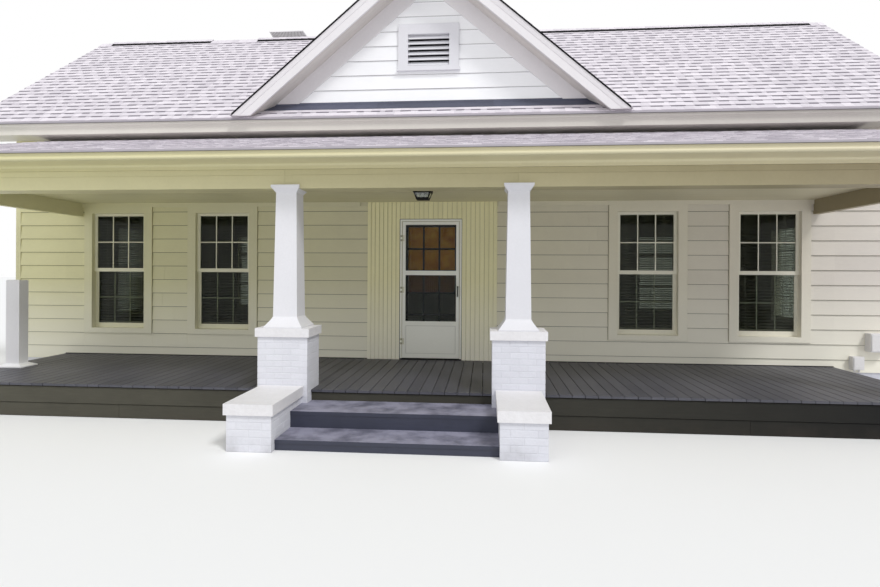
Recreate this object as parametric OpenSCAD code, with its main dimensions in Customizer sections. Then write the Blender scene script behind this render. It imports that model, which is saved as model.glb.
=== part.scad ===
/* [House] */
// Width of the house between its outer corners
house_w = 13090; // [12400:10:16000]
// Depth of the house between its outer wall faces
house_d = 5240; // [4400:20:6600]
// Thickness of the outer walls
wall_t = 150; // [130:5:220]
// Height of the porch floor above the ground
porch_h = 385; // [340:5:600]
// Height of the house floor above the porch floor
floor_up = 20; // [15:1:40]
// Thickness of the house floor
floor_t = 90; // [60:5:140]
// Height of the house ceiling above the porch floor
room_h = 2700; // [2450:10:2900]
// Thickness of the house ceiling
ceiling_t = 110; // [60:5:200]
// Thickness of the foundation walls
foundation_t = 300; // [230:10:400]
// Width of the corner boards
corner_board_w = 60; // [50:5:140]

/* [Main roof] */
// Slope of the main roof in degrees
roof_pitch = 38.7; // [32:0.1:45]
// Gap between the porch roof at the wall and the bottom of the main fascia
eave_gap = 6; // [3:1:300]
// Overhang of the front and back eaves
eave_out = 420; // [300:10:600]
// Overhang of the roof beyond the end walls
rake_out = 505; // [300:5:650]
// Thickness of the roof, measured upright
roof_t = 190; // [150:5:260]
// Thickness of the shingle layer, measured upright
shingle_t = 22; // [12:1:35]
// How far the shingles stand out past the fascia
shingle_lip = 22; // [10:1:40]
// Height of the main fascia
fascia_h = 175; // [140:5:220]
// Height of the crown moulding on the main fascia
crown_h = 112; // [80:2:130]
// How far the crown moulding stands out past the plain band
crown_out = 38; // [20:1:50]
// Thickness of the fascia boards
fascia_t = 34; // [20:1:50]
// Thickness of the soffit boards
soffit_t = 15; // [10:1:25]
// Height of the rake boards, measured upright
rake_h = 250; // [200:5:320]

/* [Front gable] */
// Half the width of the front gable at the eaves
gable_half_w = 2830; // [2400:10:3200]
// How far the ridge of the front gable lies below the main ridge
gable_drop = 20; // [10:5:300]
// How far the wall of the front gable stands in front of the front wall
gable_out = 110; // [0:5:200]
// How far the roof of the front gable stands out past the main eave
gable_eave_out = 75; // [0:5:150]
// Height of the frieze boards along the gable, measured upright
gable_frieze_h = 300; // [120:10:320]
// Width of the louvred vent in the gable
vent_w = 890; // [600:10:1000]
// Height of the louvred vent in the gable
vent_h = 690; // [500:10:800]
// How far the middle of the vent lies below the ridge of the front gable
vent_drop = 1358; // [1200:1:1500]
// Width of the vent's frame beside the louvres
vent_frame_w = 142; // [80:2:160]
// Width of the vent's frame over the louvres
vent_head = 150; // [80:5:180]
// Width of the vent's frame under the louvres
vent_sill = 74; // [60:2:130]
// Number of louvres
vent_louvres = 6; // [4:1:9]

/* [Windows] */
// Distance of the inner front windows from the middle of the house
window_x1 = 3175; // [3000:5:3300]
// Distance between the two windows of a pair
window_pair = 1680; // [1400:5:1900]
// Width of a window opening in the wall
window_w = 875; // [760:5:920]
// Height of the bottom of a window opening above the porch floor
window_z0 = 400; // [300:5:600]
// Height of the top of a window opening above the porch floor
window_z1 = 2205; // [2000:5:2400]
// Width of the casing boards beside a window
casing_w = 115; // [80:5:130]
// Width of the casing board over a window
casing_head = 85; // [60:5:110]
// Width of the casing board under a window
casing_sill = 65; // [45:5:110]
// Height of the frieze board between the window casings and the porch ceiling
frieze_h = 60; // [30:5:120]
// Thickness of the casing boards
casing_t = 30; // [26:1:40]
// Width of the stiles of a sash
stile_w = 47; // [35:1:70]
// Width of the meeting rails
meeting_rail_w = 55; // [35:1:70]
// Width of the bottom rail of the lower sash
bottom_rail_w = 72; // [50:1:100]
// Thickness of a sash
sash_t = 34; // [28:1:40]
// Thickness of the window and door glass
glass_t = 5; // [3:1:8]
// Drop of the blinds below the top of the window opening
blind_drop = 1700; // [300:10:1700]

/* [Doorway] */
// Middle of the doorway, to the right of the middle of the house
door_x = 37; // [-150:1:150]
// Width of the doorway in the wall
doorway_w = 916; // [860:1:1000]
// Height of the doorway above the porch floor
doorway_h = 2088; // [2000:1:2120]
// Thickness of the door jambs
jamb_t = 28; // [20:1:35]
// Gap round the doors
door_gap = 7; // [7:0.5:9]
// Thickness of the storm door
storm_t = 28; // [24:1:36]
// Width of the storm door's stiles
storm_stile = 46; // [35:1:70]
// Height of the storm door's middle rail above the porch floor
storm_rail_z = 1259; // [1150:1:1350]
// Height of the rail over the storm door's kick panel above the porch floor
kick_z = 537; // [400:1:700]
// Width of the stiles of the inner door
door_stile = 68; // [55:1:120]
// Width of the top rail of the inner door
door_top_rail = 70; // [55:1:120]
// Height of the glass of the inner door
door_light_h = 1650; // [900:10:1700]
// Thickness of the inner door
door_t = 44; // [38:1:50]
// Depth of the inner door's face behind the wall's outer face
door_set_back = 75; // [70:1:85]
// Width of the boarded panel round the doorway
panel_w = 1988; // [1500:2:2400]
// Thickness of the boarded panel
panel_t = 18; // [12:1:24]

/* [Porch] */
// Half the width of the porch floor
porch_half_w = 5730; // [5720:5:5900]
// Depth of the porch floor
porch_d = 2220; // [2120:5:2260]
// Thickness of the porch floor boards
deck_t = 35; // [25:1:45]
// How far the floor boards stand out past the skirt
deck_lip = 18; // [10:1:30]
// Thickness of the skirt boards
skirt_t = 38; // [25:1:50]
// Distance of the bottom of the upper skirt board below the porch floor
skirt_board_h = 226; // [150:2:260]
// How far the lower skirt board is set back
skirt_step = 12; // [5:1:16]
// Height of the joists
joist_h = 140; // [90:5:180]
// Thickness of the joists
joist_t = 45; // [38:1:60]
// Number of joists
joist_count = 20; // [14:1:26]
// How far the front beam reaches down below the porch ceiling
beam_drop = 137; // [80:1:220]
// Thickness of the porch ceiling
porch_ceiling_t = 16; // [10:1:25]
// Thickness of the porch beams
beam_t = 250; // [220:5:300]
// How far the middle of the corner piers lies inside the end of the porch floor
corner_inset = 160; // [125:5:300]
// Thickness of the side beams
side_beam_t = 90; // [60:5:250]
// How far the side beams reach down below the front beam
side_beam_drop = 65; // [0:5:80]
// How far the middle of the columns lies behind the front of the porch floor
column_inset = 80; // [60:5:200]
// Slope of the porch roof in degrees
porch_pitch = 16; // [12:0.5:16]
// How far the porch roof stands out past the porch floor
porch_eave_out = 380; // [330:5:480]
// How far the porch roof stands out past the side beams
porch_roof_side = 280; // [150:5:400]
// Height of the porch roof's shingle edge above the bottom of the front beam
porch_edge_rise = 379; // [360:1:450]
// Thickness of the porch roof, measured upright
porch_roof_t = 75; // [60:5:85]
// Height of the porch fascia
porch_fascia_h = 84; // [70:1:100]
// Thickness of the porch fascia
porch_fascia_t = 24; // [15:1:30]
// Size of the mouldings between the porch soffit and the front beam
porch_mould = 30; // [15:1:45]
// Height of the boards under the ends of the porch roof
porch_rake_h = 45; // [30:1:80]

/* [Piers and columns] */
// Middle of the steps, to the right of the middle of the house
steps_x = -75; // [-200:5:200]
// Half the distance between the two middle piers
pier_x = 1272; // [1200:2:1500]
// Width of a pier
pier_w = 556; // [480:2:600]
// Depth of a pier
pier_d = 420; // [380:5:480]
// Height of the top of the pier caps above the porch floor
pier_cap_z = 685; // [600:5:800]
// Thickness of the pier caps
pier_cap_t = 95; // [60:5:120]
// How far the caps stand out past the masonry
cap_lip = 22; // [10:1:35]
// Width of a column's foot
foot_w = 426; // [380:2:460]
// Height of a column's foot
foot_h = 120; // [80:5:140]
// Height of the square plinth of a column's foot
plinth_h = 12; // [8:1:50]
// Width of a column at its bottom
column_w0 = 270; // [240:1:300]
// Width of a column at its top
column_w1 = 230; // [200:1:270]
// Width of a column's capital
capital_w = 320; // [300:1:360]
// Height of a column's capital
capital_h = 42; // [30:1:80]
// Height of the capital's lip in front of the beam
capital_lip = 40; // [10:1:60]
// Width of a newel post
newel_w = 190; // [150:5:230]
// Depth of a newel post
newel_d = 150; // [140:5:230]
// Height of the newel post
newel_h = 1170; // [900:2:1300]
// Width of the newel post's foot
newel_foot_w = 360; // [260:5:380]
// Depth of the newel post's foot
newel_foot_d = 280; // [240:5:360]
// How far the middle of the newel post lies inside the end of the porch floor
newel_inset = 255; // [190:5:400]
// Middle of the newel post, in front of the house wall
newel_y = 1190; // [900:5:1400]

/* [Steps] */
// How far the cheek walls stand out past the porch floor
cheek_out = 980; // [930:5:1300]
// Width of a cheek wall
cheek_w = 434; // [360:2:460]
// Height of the top of the cheek caps above the porch floor
cheek_cap_z = 65; // [40:5:120]
// Thickness of the cheek caps
cheek_cap_t = 105; // [60:5:120]
// How far the upper tread stands out past the porch floor
tread1_out = 480; // [380:5:540]
// How far the lower tread stands out past the upper one
tread2_out = 420; // [300:5:440]
// Drop from the porch floor to the upper tread
tread1_drop = 120; // [100:5:150]
// Drop from the porch floor to the lower tread
tread2_drop = 285; // [250:5:295]
// Thickness of the treads
tread_t = 36; // [25:1:45]
// How far the treads stand out past the risers
nosing = 6; // [4:1:35]
// Thickness of the risers
riser_t = 24; // [18:1:35]

/* [Fittings] */
// Width of the porch light at the ceiling
light_w = 250; // [180:5:300]
// Width of the porch light at its bottom
light_w1 = 160; // [120:5:200]
// Height of the porch light
light_h = 150; // [120:5:190]
// Middle of the porch light, to the right of the middle of the house
light_x = 67; // [-100:1:150]
// Distance of the porch light from the house wall
light_y = 1370; // [1000:10:1600]
// Width of the roof vent
roof_vent_w = 700; // [400:10:900]
// Depth of the roof vent
roof_vent_d = 520; // [300:10:600]
// Height of the roof vent's top above the main ridge
roof_vent_rise = 245; // [200:10:400]
// Height of the roof vent's head
roof_vent_head = 137; // [100:1:180]
// Distance of the roof vent's head behind the main ridge
roof_vent_back = 170; // [100:10:400]
// Middle of the roof vent, from the middle of the house
roof_vent_x = -3235; // [-3600:5:-2900]
// Distance of the small utility box from the corner of the house
small_box_in = 545; // [520:5:700]
// Width of the small utility box
small_box_w = 150; // [120:5:160]
// Height of the small utility box
small_box_h = 185; // [120:5:260]
// Depth of the small utility box
small_box_d = 110; // [70:5:160]
// Height of the middle of the small utility box above the porch floor
small_box_z = 70; // [68:2:300]
// Distance of the tall utility box from the corner of the house
tall_box_in = 290; // [260:5:300]
// Width of the tall utility box
tall_box_w = 235; // [160:5:260]
// Height of the tall utility box
tall_box_h = 255; // [200:5:400]
// Depth of the tall utility box
tall_box_d = 140; // [70:5:180]
// Height of the middle of the tall utility box above the porch floor
tall_box_z = 358; // [340:2:600]

/* [Hidden] */

// Gap between pieces that seat against each other
seat = 0.3;
// Extra length of a cutting shape past the faces that it cuts
cut = 50;
white = "#e9e8e4";
cream = "#dcdad0";
charcoal = "#4a4d55";
shingle = "#9a97a0";

// The plan is centred on the origin, from the cheek caps' front to the back eave
cheek_y = porch_d + cheek_out;
front_reach = cheek_y + cap_lip;
back_reach = house_d + eave_out + shingle_lip;
wall_y = (front_reach - back_reach) / 2;
half_w = house_w / 2;
roof_half_w = half_w + rake_out;
ridge_y = house_d / 2;
window_x2 = window_x1 + window_pair;
porch_ceiling_z = window_z1 + casing_head + frieze_h;
beam_z = porch_ceiling_z - beam_drop;
porch_edge_z = beam_z + porch_edge_rise;
porch_roof_out = porch_d + porch_eave_out;
column_y = porch_d - column_inset;
corner_x = porch_half_w - corner_inset;
newel_x = -porch_half_w + newel_inset;
porch_fascia_back = porch_roof_out - shingle_lip - porch_fascia_t;
porch_fascia_z1 = porch_edge_z - shingle_t - seat;
tread1_y = porch_d + tread1_out;
tread2_y = tread1_y + tread2_out;
wall_z0 = floor_up - floor_t;
roof_slope = tan(roof_pitch);
porch_slope = tan(porch_pitch);
eave_z = porch_top(0) + eave_gap + fascia_h + shingle_t;
ridge_z = main_top(ridge_y);
fascia_top = eave_z - shingle_t;
eave_deep = crown_out + fascia_t;
gable_ridge_z = ridge_z - gable_drop;
gable_slope = (gable_ridge_z - eave_z) / gable_half_w;
gable_rake_y = -eave_out - fascia_t * 0.4 - gable_eave_out;
vent_z = gable_ridge_z - vent_drop;
vent_open_z0 = vent_z - vent_h / 2 + vent_sill;
vent_open_z1 = vent_z + vent_h / 2 - vent_head;
vent_open_x = vent_w / 2 - vent_frame_w;
beam_y0 = column_y - beam_t / 2;
beam_y1 = column_y + beam_t / 2;
pier_y1 = column_y + pier_d / 2;
pier_y0 = column_y - pier_d / 2;
leaf_w = doorway_w - 2 * (jamb_t + door_gap);
threshold_h = floor_up;
leaf_z0 = threshold_h + door_gap;
leaf_z1 = doorway_h - jamb_t - door_gap;
pane_bed = 8;
entry_pier_x = [steps_x - pier_x, steps_x + pier_x];
all_pier_x = [-corner_x, entry_pier_x[0], entry_pier_x[1], corner_x];

// Height of the main roof's top over a point that far behind the front wall's face
function main_top(y) = eave_z + (y + eave_out) * tan(roof_pitch);
// Height of the front gable's top at a distance x from the middle
function gable_top(x) = gable_ridge_z - abs(x) * gable_slope;
// Height of the porch roof's top at a distance in front of the house wall
function porch_top(out) = porch_edge_z + (porch_roof_out - out) * porch_slope;

// Height of the porch beams' top at a distance in front of the house wall
function beam_top(out) = porch_top(out) - porch_roof_t - seat;

// Moves local positions to the model's place: local zero is the middle of the front
// wall's outer face at the porch floor, and local Y runs into the house
module place() {
    translate([0, wall_y, porch_h]) children();
}

// A box from its lowest corner to its highest corner
module span(low, high) {
    translate(low) cube([high[0] - low[0], high[1] - low[1], high[2] - low[2]]);
}

// Extrudes an outline drawn in Y and Z along X
module along_x(x0, x1) {
    translate([x0, 0, 0]) rotate([90, 0, 90]) linear_extrude(x1 - x0) children();
}

// Extrudes an outline drawn in X and Z along Y
module along_y(y0, y1) {
    translate([0, y1, 0]) rotate([90, 0, 0]) linear_extrude(y1 - y0) children();
}

// A solid with a rectangular plan that changes with its height: each ring is a height,
// a width and a depth
module loft(rings) {
    last = len(rings) - 1;
    corners = [for (ring = rings, c = [[-1, -1], [1, -1], [1, 1], [-1, 1]])
        [c[0] * ring[1] / 2, c[1] * ring[2] / 2, ring[0]]];
    sides = [for (i = [0 : last - 1], k = [0 : 3])
        [4 * i + k, 4 * i + k + 4, 4 * i + (k + 1) % 4 + 4, 4 * i + (k + 1) % 4]];
    top = [for (k = [3 : -1 : 0]) 4 * last + k];
    polyhedron(corners, concat([[0, 1, 2, 3]], sides, [top]), convexity = 4);
}

// Mirrors front pieces to the back of the house
module to_back() {
    translate([0, house_d, 0]) mirror([0, 1, 0]) children();
}

// Places a window drawn at a front wall in every window opening
module at_windows() {
    for (x = [-window_x2, -window_x1, window_x1, window_x2]) {
        translate([x, 0, 0]) children();
        translate([x, house_d, 0]) rotate([0, 0, 180]) children();
    }
    for (side = [-1, 1]) {
        translate([side * half_w, ridge_y, 0]) rotate([0, 0, side * 90]) children();
    }
}

// Everything below the top of the front slope of the main roof
module below_main_roof() {
    along_x(-roof_half_w - cut, roof_half_w + cut) polygon([
        [-eave_out - 10 * cut, -porch_h],
        [-eave_out - 10 * cut, eave_z + seat],
        [-eave_out, eave_z + seat],
        [ridge_y, ridge_z + seat],
        [ridge_y + 10 * cut, -porch_h]
    ]);
}

// Foundation
module foundation() {
    z1 = wall_z0;
    inner_x = half_w - foundation_t;
    color(white) place() {
        for (y = [0, house_d - foundation_t]) {
            span([-half_w, y, -porch_h], [half_w, y + foundation_t, z1]);
        }
        for (side = [-1, 1]) {
            x = side * (half_w - foundation_t / 2);
            span([x - foundation_t / 2, foundation_t + seat, -porch_h],
                [x + foundation_t / 2, house_d - foundation_t - seat, z1]);
        }
    }
}

// Floor and ceiling
module house_floor() {
    x = half_w - wall_t - seat;
    color("#7d5a3c") place()
        span([-x, wall_t + seat, wall_z0], [x, house_d - wall_t - seat, floor_up]);
}

module house_ceiling() {
    x = half_w - wall_t - seat;
    color(cream) place()
        span([-x, wall_t + seat, room_h], [x, house_d - wall_t - seat, room_h + ceiling_t]);
}

// Walls
module long_wall_outline() {
    polygon([
        [0, wall_z0],
        [wall_t, wall_z0],
        [wall_t, main_top(wall_t) - roof_t - seat],
        [0, main_top(0) - roof_t - seat]
    ]);
}

module window_hole() {
    span([-window_w / 2, -cut, window_z0], [window_w / 2, wall_t + cut, window_z1]);
}

module front_wall_side(side) {
    x0 = door_x + side * doorway_w / 2;
    x1 = side * half_w;
    difference() {
        along_x(min(x0, x1), max(x0, x1)) long_wall_outline();
        for (x = [window_x1, window_x2]) {
            translate([side * x, 0, 0]) window_hole();
        }
    }
}

module front_wall_left() {
    color(white) place() front_wall_side(-1);
}

module front_wall_right() {
    color(white) place() front_wall_side(1);
}

module front_wall_head() {
    x = doorway_w / 2 - seat;
    color(white) place() intersection() {
        along_x(door_x - x, door_x + x) long_wall_outline();
        span([-half_w, -cut, doorway_h], [half_w, wall_t + cut, ridge_z]);
    }
}

module back_wall() {
    color(white) place() difference() {
        to_back() along_x(-half_w, half_w) long_wall_outline();
        for (x = [-window_x2, -window_x1, window_x1, window_x2]) {
            translate([x, house_d, 0]) rotate([0, 0, 180]) window_hole();
        }
    }
}

module end_wall(side) {
    inner = wall_t + seat;
    x = side * (half_w - wall_t / 2);
    difference() {
        along_x(x - wall_t / 2, x + wall_t / 2) polygon([
            [inner, wall_z0],
            [house_d - inner, wall_z0],
            [house_d - inner, main_top(inner) - roof_t - seat],
            [ridge_y, ridge_z - roof_t - seat],
            [inner, main_top(inner) - roof_t - seat]
        ]);
        translate([side * half_w, ridge_y, 0]) rotate([0, 0, side * 90]) window_hole();
    }
}

module end_walls() {
    color(white) place() for (side = [-1, 1]) {
        end_wall(side);
    }
}

module gable_wall() {
    under = roof_t + seat;
    color(white) place() difference() {
        along_y(-gable_out, wall_t - gable_out) polygon([
            [-gable_half_w, gable_top(gable_half_w) - under],
            [gable_half_w, gable_top(gable_half_w) - under],
            [0, gable_ridge_z - under]
        ]);
        below_main_roof();
        span([-vent_open_x, -gable_out - cut, vent_open_z0],
            [vent_open_x, wall_t + cut, vent_open_z1]);
    }
}

module wall_trim() {
    z1 = fascia_top - fascia_h - seat;
    frieze_z0 = porch_ceiling_z - frieze_h + seat;
    frieze_x0 = max(abs(door_x + panel_w / 2), abs(door_x - panel_w / 2)) + seat;
    frieze_x1 = corner_x - beam_t / 2;
    color(white) place() for (side = [-1, 1]) {
        for (far = [0, 1]) {
            translate([0, far * house_d, 0]) mirror([0, far, 0])
                along_corner(side, z1);
        }
        mirror([side < 0 ? 1 : 0, 0, 0])
            span([frieze_x0, -casing_t, frieze_z0], [frieze_x1, -seat, porch_ceiling_z - seat]);
    }
}

// One corner board, which wraps the corner of the house
module along_corner(side, z1) {
    out = panel_t + seat;
    mirror([side < 0 ? 1 : 0, 0, 0]) difference() {
        span([half_w - corner_board_w, -out, wall_z0], [half_w + out, corner_board_w, z1]);
        span([half_w - corner_board_w - cut, -seat, wall_z0 - cut],
            [half_w + seat, corner_board_w + cut, z1 + cut]);
    }
}

// Boarded panel round the doorway
module entry_panel() {
    z1 = porch_ceiling_z - seat;
    x0 = doorway_w / 2;
    x1 = panel_w / 2;
    color(cream) place() translate([door_x, -panel_t - seat, 0]) {
        span([-x1, 0, seat], [-x0, panel_t, z1]);
        span([x0, 0, seat], [x1, panel_t, z1]);
        span([-x0 + seat, 0, doorway_h], [x0 - seat, panel_t, z1]);
    }
}

// Windows: casing, sashes, glass and blinds
module window_frame() {
    x = window_w / 2;
    liner = 12;
    difference() {
        union() {
            span([-x - casing_w, -casing_t, window_z0 - casing_sill],
                [x + casing_w, -seat, window_z1 + casing_head]);
            span([-x + seat, -casing_t, window_z0 + seat], [x - seat, wall_t, window_z1 - seat]);
        }
        span([-x + liner, -cut - casing_t, window_z0 + liner],
            [x - liner, wall_t + cut, window_z1 - liner]);
    }
}

module window_frames() {
    color(white) place() at_windows() window_frame();
}

// The meeting rails' middle, and the sashes' outer edges
meeting_z = (window_z0 + window_z1) / 2 + 14;
sash_edge = 12 + seat;
sash_x = window_w / 2 - sash_edge;
sash_y = 30;

// One sash from its bottom to its top, with the width of its bottom and top rails
module sash(z0, z1, rail0, rail1) {
    difference() {
        span([-sash_x, 0, z0], [sash_x, sash_t, z1]);
        span([-sash_x + stile_w, -cut, z0 + rail0], [sash_x - stile_w, sash_t + cut, z1 - rail1]);
        span([-sash_x + stile_w - pane_bed, sash_t / 2 - glass_t / 2 - seat, z0 + rail0 - pane_bed],
            [sash_x - stile_w + pane_bed, sash_t + cut, z1 - rail1 + pane_bed]);
    }
}

// The glass of one sash
module pane(z0, z1, rail0, rail1) {
    bed = pane_bed - seat;
    y = sash_t / 2 - glass_t / 2;
    span([-sash_x + stile_w - bed, y, z0 + rail0 - bed],
        [sash_x - stile_w + bed, y + glass_t, z1 - rail1 + bed]);
}

module upper_sash_place() {
    translate([0, sash_y, 0]) children();
}

module lower_sash_place() {
    translate([0, sash_y + sash_t + seat, 0]) children();
}

module window_sashes() {
    half_rail = meeting_rail_w / 2;
    color(white) place() at_windows() {
        upper_sash_place()
            sash(meeting_z - half_rail, window_z1 - sash_edge, meeting_rail_w, stile_w - 8);
        lower_sash_place()
            sash(window_z0 + sash_edge, meeting_z + half_rail, bottom_rail_w, meeting_rail_w);
    }
}

module window_glass() {
    half_rail = meeting_rail_w / 2;
    color("#5c6a70") place() at_windows() {
        upper_sash_place()
            pane(meeting_z - half_rail, window_z1 - sash_edge, meeting_rail_w, stile_w - 8);
        lower_sash_place()
            pane(window_z0 + sash_edge, meeting_z + half_rail, bottom_rail_w, meeting_rail_w);
    }
}

module window_blinds() {
    y0 = sash_y + 2 * sash_t + 4;
    z1 = window_z1 - sash_edge;
    x = sash_x - 6;
    color(cream) place() at_windows() {
        span([-x, y0, z1 - 45], [x, y0 + 38, z1]);
        span([-x, y0 + 12, z1 - blind_drop], [x, y0 + 26, z1 - 45]);
    }
}

// Doorway
module door_frame() {
    x0 = doorway_w / 2 - jamb_t;
    x1 = doorway_w / 2 - seat;
    z1 = doorway_h - seat;
    y0 = -storm_t;
    stop_t = 14;
    stop_y0 = door_gap;
    stop_y1 = door_set_back - door_gap;
    color(white) place() translate([door_x, 0, 0]) {
        for (side = [-1, 1]) {
            mirror([side < 0 ? 1 : 0, 0, 0]) {
                span([x0, y0, threshold_h + seat], [x1, wall_t, z1 - jamb_t - seat]);
                span([x0 - stop_t, stop_y0, threshold_h + seat],
                    [x0, stop_y1, z1 - jamb_t - stop_t - seat]);
            }
        }
        span([-x1, y0, z1 - jamb_t], [x1, wall_t, z1]);
        span([-x0 + seat, stop_y0, z1 - jamb_t - stop_t], [x0 - seat, stop_y1, z1 - jamb_t]);
        span([-x1, y0, 0], [x1, wall_t, threshold_h]);
    }
}

// Hinges: a barrel of three knuckles on a pin, with two plates. The frame carries the
// pin with the outer knuckles, and the door carries the middle one
hinge_h = 90;
hinge_pin_r = 2.5;
hinge_plate_t = 2.5;
hinge_plate_w = 26;
storm_hinge_r = 6;
storm_hinge_x = -leaf_w / 2 - door_gap / 2;
storm_hinge_y = -storm_t - storm_hinge_r - seat;
inner_hinge_r = 5;
inner_hinge_x = -leaf_w / 2 - door_gap + inner_hinge_r + seat;
inner_hinge_y = door_set_back + door_t + inner_hinge_r + seat;
hinge_heights = [leaf_z0 + 200, (leaf_z0 + leaf_z1 - hinge_h) / 2, leaf_z1 - 200 - hinge_h];
knob_z = 930;
knob_r = 20;
knob_out = 50;

module hinge_pin(radius) {
    knuckle = hinge_h / 3 - seat;
    cylinder(h = hinge_h, r = hinge_pin_r, $fn = 32);
    cylinder(h = knuckle, r = radius, $fn = 32);
    translate([0, 0, hinge_h - knuckle]) cylinder(h = knuckle, r = radius, $fn = 32);
}

// The middle knuckle with the door's plate, on the side of the barrel that faces the door
module hinge_leaf(radius, face) {
    near = min(face * (radius - hinge_plate_t), face * radius);
    difference() {
        union() {
            translate([0, 0, hinge_h / 3]) cylinder(h = hinge_h / 3, r = radius, $fn = 32);
            span([0, near, hinge_h / 3],
                [radius + 3, near + hinge_plate_t, hinge_h * 2 / 3]);
            span([radius + 2, near, 0], [radius + hinge_plate_w, near + hinge_plate_t, hinge_h]);
        }
        translate([0, 0, -1]) cylinder(h = hinge_h + 2, r = hinge_pin_r + seat, $fn = 32);
    }
}

module door_hinges() {
    knuckle = hinge_h / 3 - seat;
    storm_near = storm_hinge_r - hinge_plate_t;
    inner_near = -inner_hinge_r;
    color("#a9a9a6") place() translate([door_x, 0, 0]) for (z = hinge_heights) {
        translate([storm_hinge_x, storm_hinge_y, z]) {
            hinge_pin(storm_hinge_r);
            for (low = [0, hinge_h - knuckle]) {
                span([-hinge_plate_w, storm_near, low], [0, storm_hinge_r, low + knuckle]);
            }
        }
        translate([inner_hinge_x, inner_hinge_y, z]) {
            hinge_pin(inner_hinge_r);
            for (low = [0, hinge_h - knuckle]) {
                span([inner_near, 0, low], [inner_near + hinge_plate_t, hinge_plate_w, low + knuckle]);
            }
        }
    }
}

// Opening of the inner door's glass
door_light_x = leaf_w / 2 - door_stile;
door_light_z1 = leaf_z1 - door_top_rail;
door_light_z0 = door_light_z1 - door_light_h;

module front_door() {
    x = leaf_w / 2;
    bed = pane_bed;
    y_bed = door_t / 2 - glass_t / 2 - seat;
    color("#2b2a2c") place() translate([door_x, door_set_back, 0]) difference() {
        span([-x, 0, leaf_z0], [x, door_t, leaf_z1]);
        span([-door_light_x, -cut, door_light_z0], [door_light_x, door_t + cut, door_light_z1]);
        span([-door_light_x - bed, y_bed, door_light_z0 - bed],
            [door_light_x + bed, door_t + cut, door_light_z1 + bed]);
    }
}

module front_door_glass() {
    y = door_set_back + door_t / 2 - glass_t / 2;
    x = door_light_x + pane_bed - seat;
    color("#5c6a70") place() translate([door_x, y, 0])
        span([-x, 0, door_light_z0 - pane_bed + seat], [x, glass_t, door_light_z1 + pane_bed - seat]);
}

// One knob on its rose, standing along Y
module knob(reach, radius) {
    rotate([90, 0, 0]) rotate_extrude($fn = 48) polygon([
        [0, 0],
        [radius, 0],
        [radius, 5],
        [radius * 0.42, 9],
        [radius * 0.42, reach * 0.5],
        [radius * 0.95, reach * 0.66],
        [radius, reach * 0.8],
        [radius * 0.8, reach * 0.95],
        [0, reach]
    ]);
}

module front_door_fittings() {
    x = leaf_w / 2 - door_stile / 2 - knob_r / 5;
    color("#b08d4a") place() {
        translate([door_x + x, door_set_back, knob_z]) {
            translate([0, -seat, 0]) knob(knob_out - 10, knob_r);
            translate([0, door_t + seat, 0]) mirror([0, 1, 0]) knob(knob_out, knob_r);
        }
        for (z = hinge_heights) {
            translate([door_x + inner_hinge_x, inner_hinge_y, z]) hinge_leaf(inner_hinge_r, -1);
        }
    }
}

// Storm door with two lights over a kick panel
storm_light_x = leaf_w / 2 - storm_stile;
storm_rail_w = 66;

kick_rail_w = 36;
storm_bottom_rail = 51;

module storm_door() {
    x = leaf_w / 2;
    light_z1 = leaf_z1 - storm_stile;
    panel_z0 = leaf_z0 + storm_bottom_rail;
    panel_deep = 8;
    groove = 14;
    color(white) place() translate([door_x, -storm_t, 0]) difference() {
        span([-x, 0, leaf_z0], [x, storm_t, leaf_z1]);
        span([-storm_light_x, -cut, kick_z + kick_rail_w], [storm_light_x, storm_t + cut, storm_rail_z]);
        span([-storm_light_x, -cut, storm_rail_z + storm_rail_w],
            [storm_light_x, storm_t + cut, light_z1]);
        for (y = [-cut, storm_t - panel_deep]) {
            difference() {
                span([-storm_light_x, y, panel_z0], [storm_light_x, y + cut + panel_deep, kick_z]);
                span([-storm_light_x + groove, y - 1, panel_z0 + groove],
                    [storm_light_x - groove, y + cut + panel_deep + 1, kick_z - groove]);
            }
            span([-storm_light_x + groove, y < 0 ? y : y + 4, panel_z0 + groove],
                [storm_light_x - groove, y < 0 ? 4 : y + cut, kick_z - groove]);
        }
    }
}

module storm_door_glass() {
    x = storm_light_x - seat;
    y = -storm_t / 2 - glass_t / 2;
    color("#5c6a70") place() translate([door_x, y, 0]) {
        span([-x, 0, kick_z + kick_rail_w + seat], [x, glass_t, storm_rail_z - seat]);
        span([-x, 0, storm_rail_z + storm_rail_w + seat],
            [x, glass_t, leaf_z1 - storm_stile - seat]);
    }
}

module storm_door_fittings() {
    grip_h = 160;
    grip_z = 1020;
    grip_w = 16;
    grip_t = 8;
    grip_out = 32;
    foot = 26;
    face = -storm_t - seat;
    color("#15151a") place() {
        translate([door_x + leaf_w / 2 - storm_stile / 2, 0, grip_z]) {
            for (z = [-grip_h / 2, grip_h / 2 - foot]) {
                span([-grip_w / 2, face - grip_out, z], [grip_w / 2, face, z + foot]);
            }
            span([-grip_w / 2, face - grip_out - grip_t, -grip_h / 2],
                [grip_w / 2, face - grip_out, grip_h / 2]);
            span([-grip_w * 0.7, seat, -35], [grip_w * 0.3, grip_t, 35]);
            span([-60, grip_t, -grip_w / 2], [grip_w * 0.3, grip_t + 10, grip_w / 2]);
        }
        for (z = hinge_heights) {
            translate([door_x + storm_hinge_x, storm_hinge_y, z]) hinge_leaf(storm_hinge_r, 1);
        }
    }
}

// Porch floor, its joists and its skirt
module pier_plan(x, grow) {
    translate([x, -column_y]) square([pier_w + 2 * grow, pier_d + 2 * grow], center = true);
}

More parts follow.
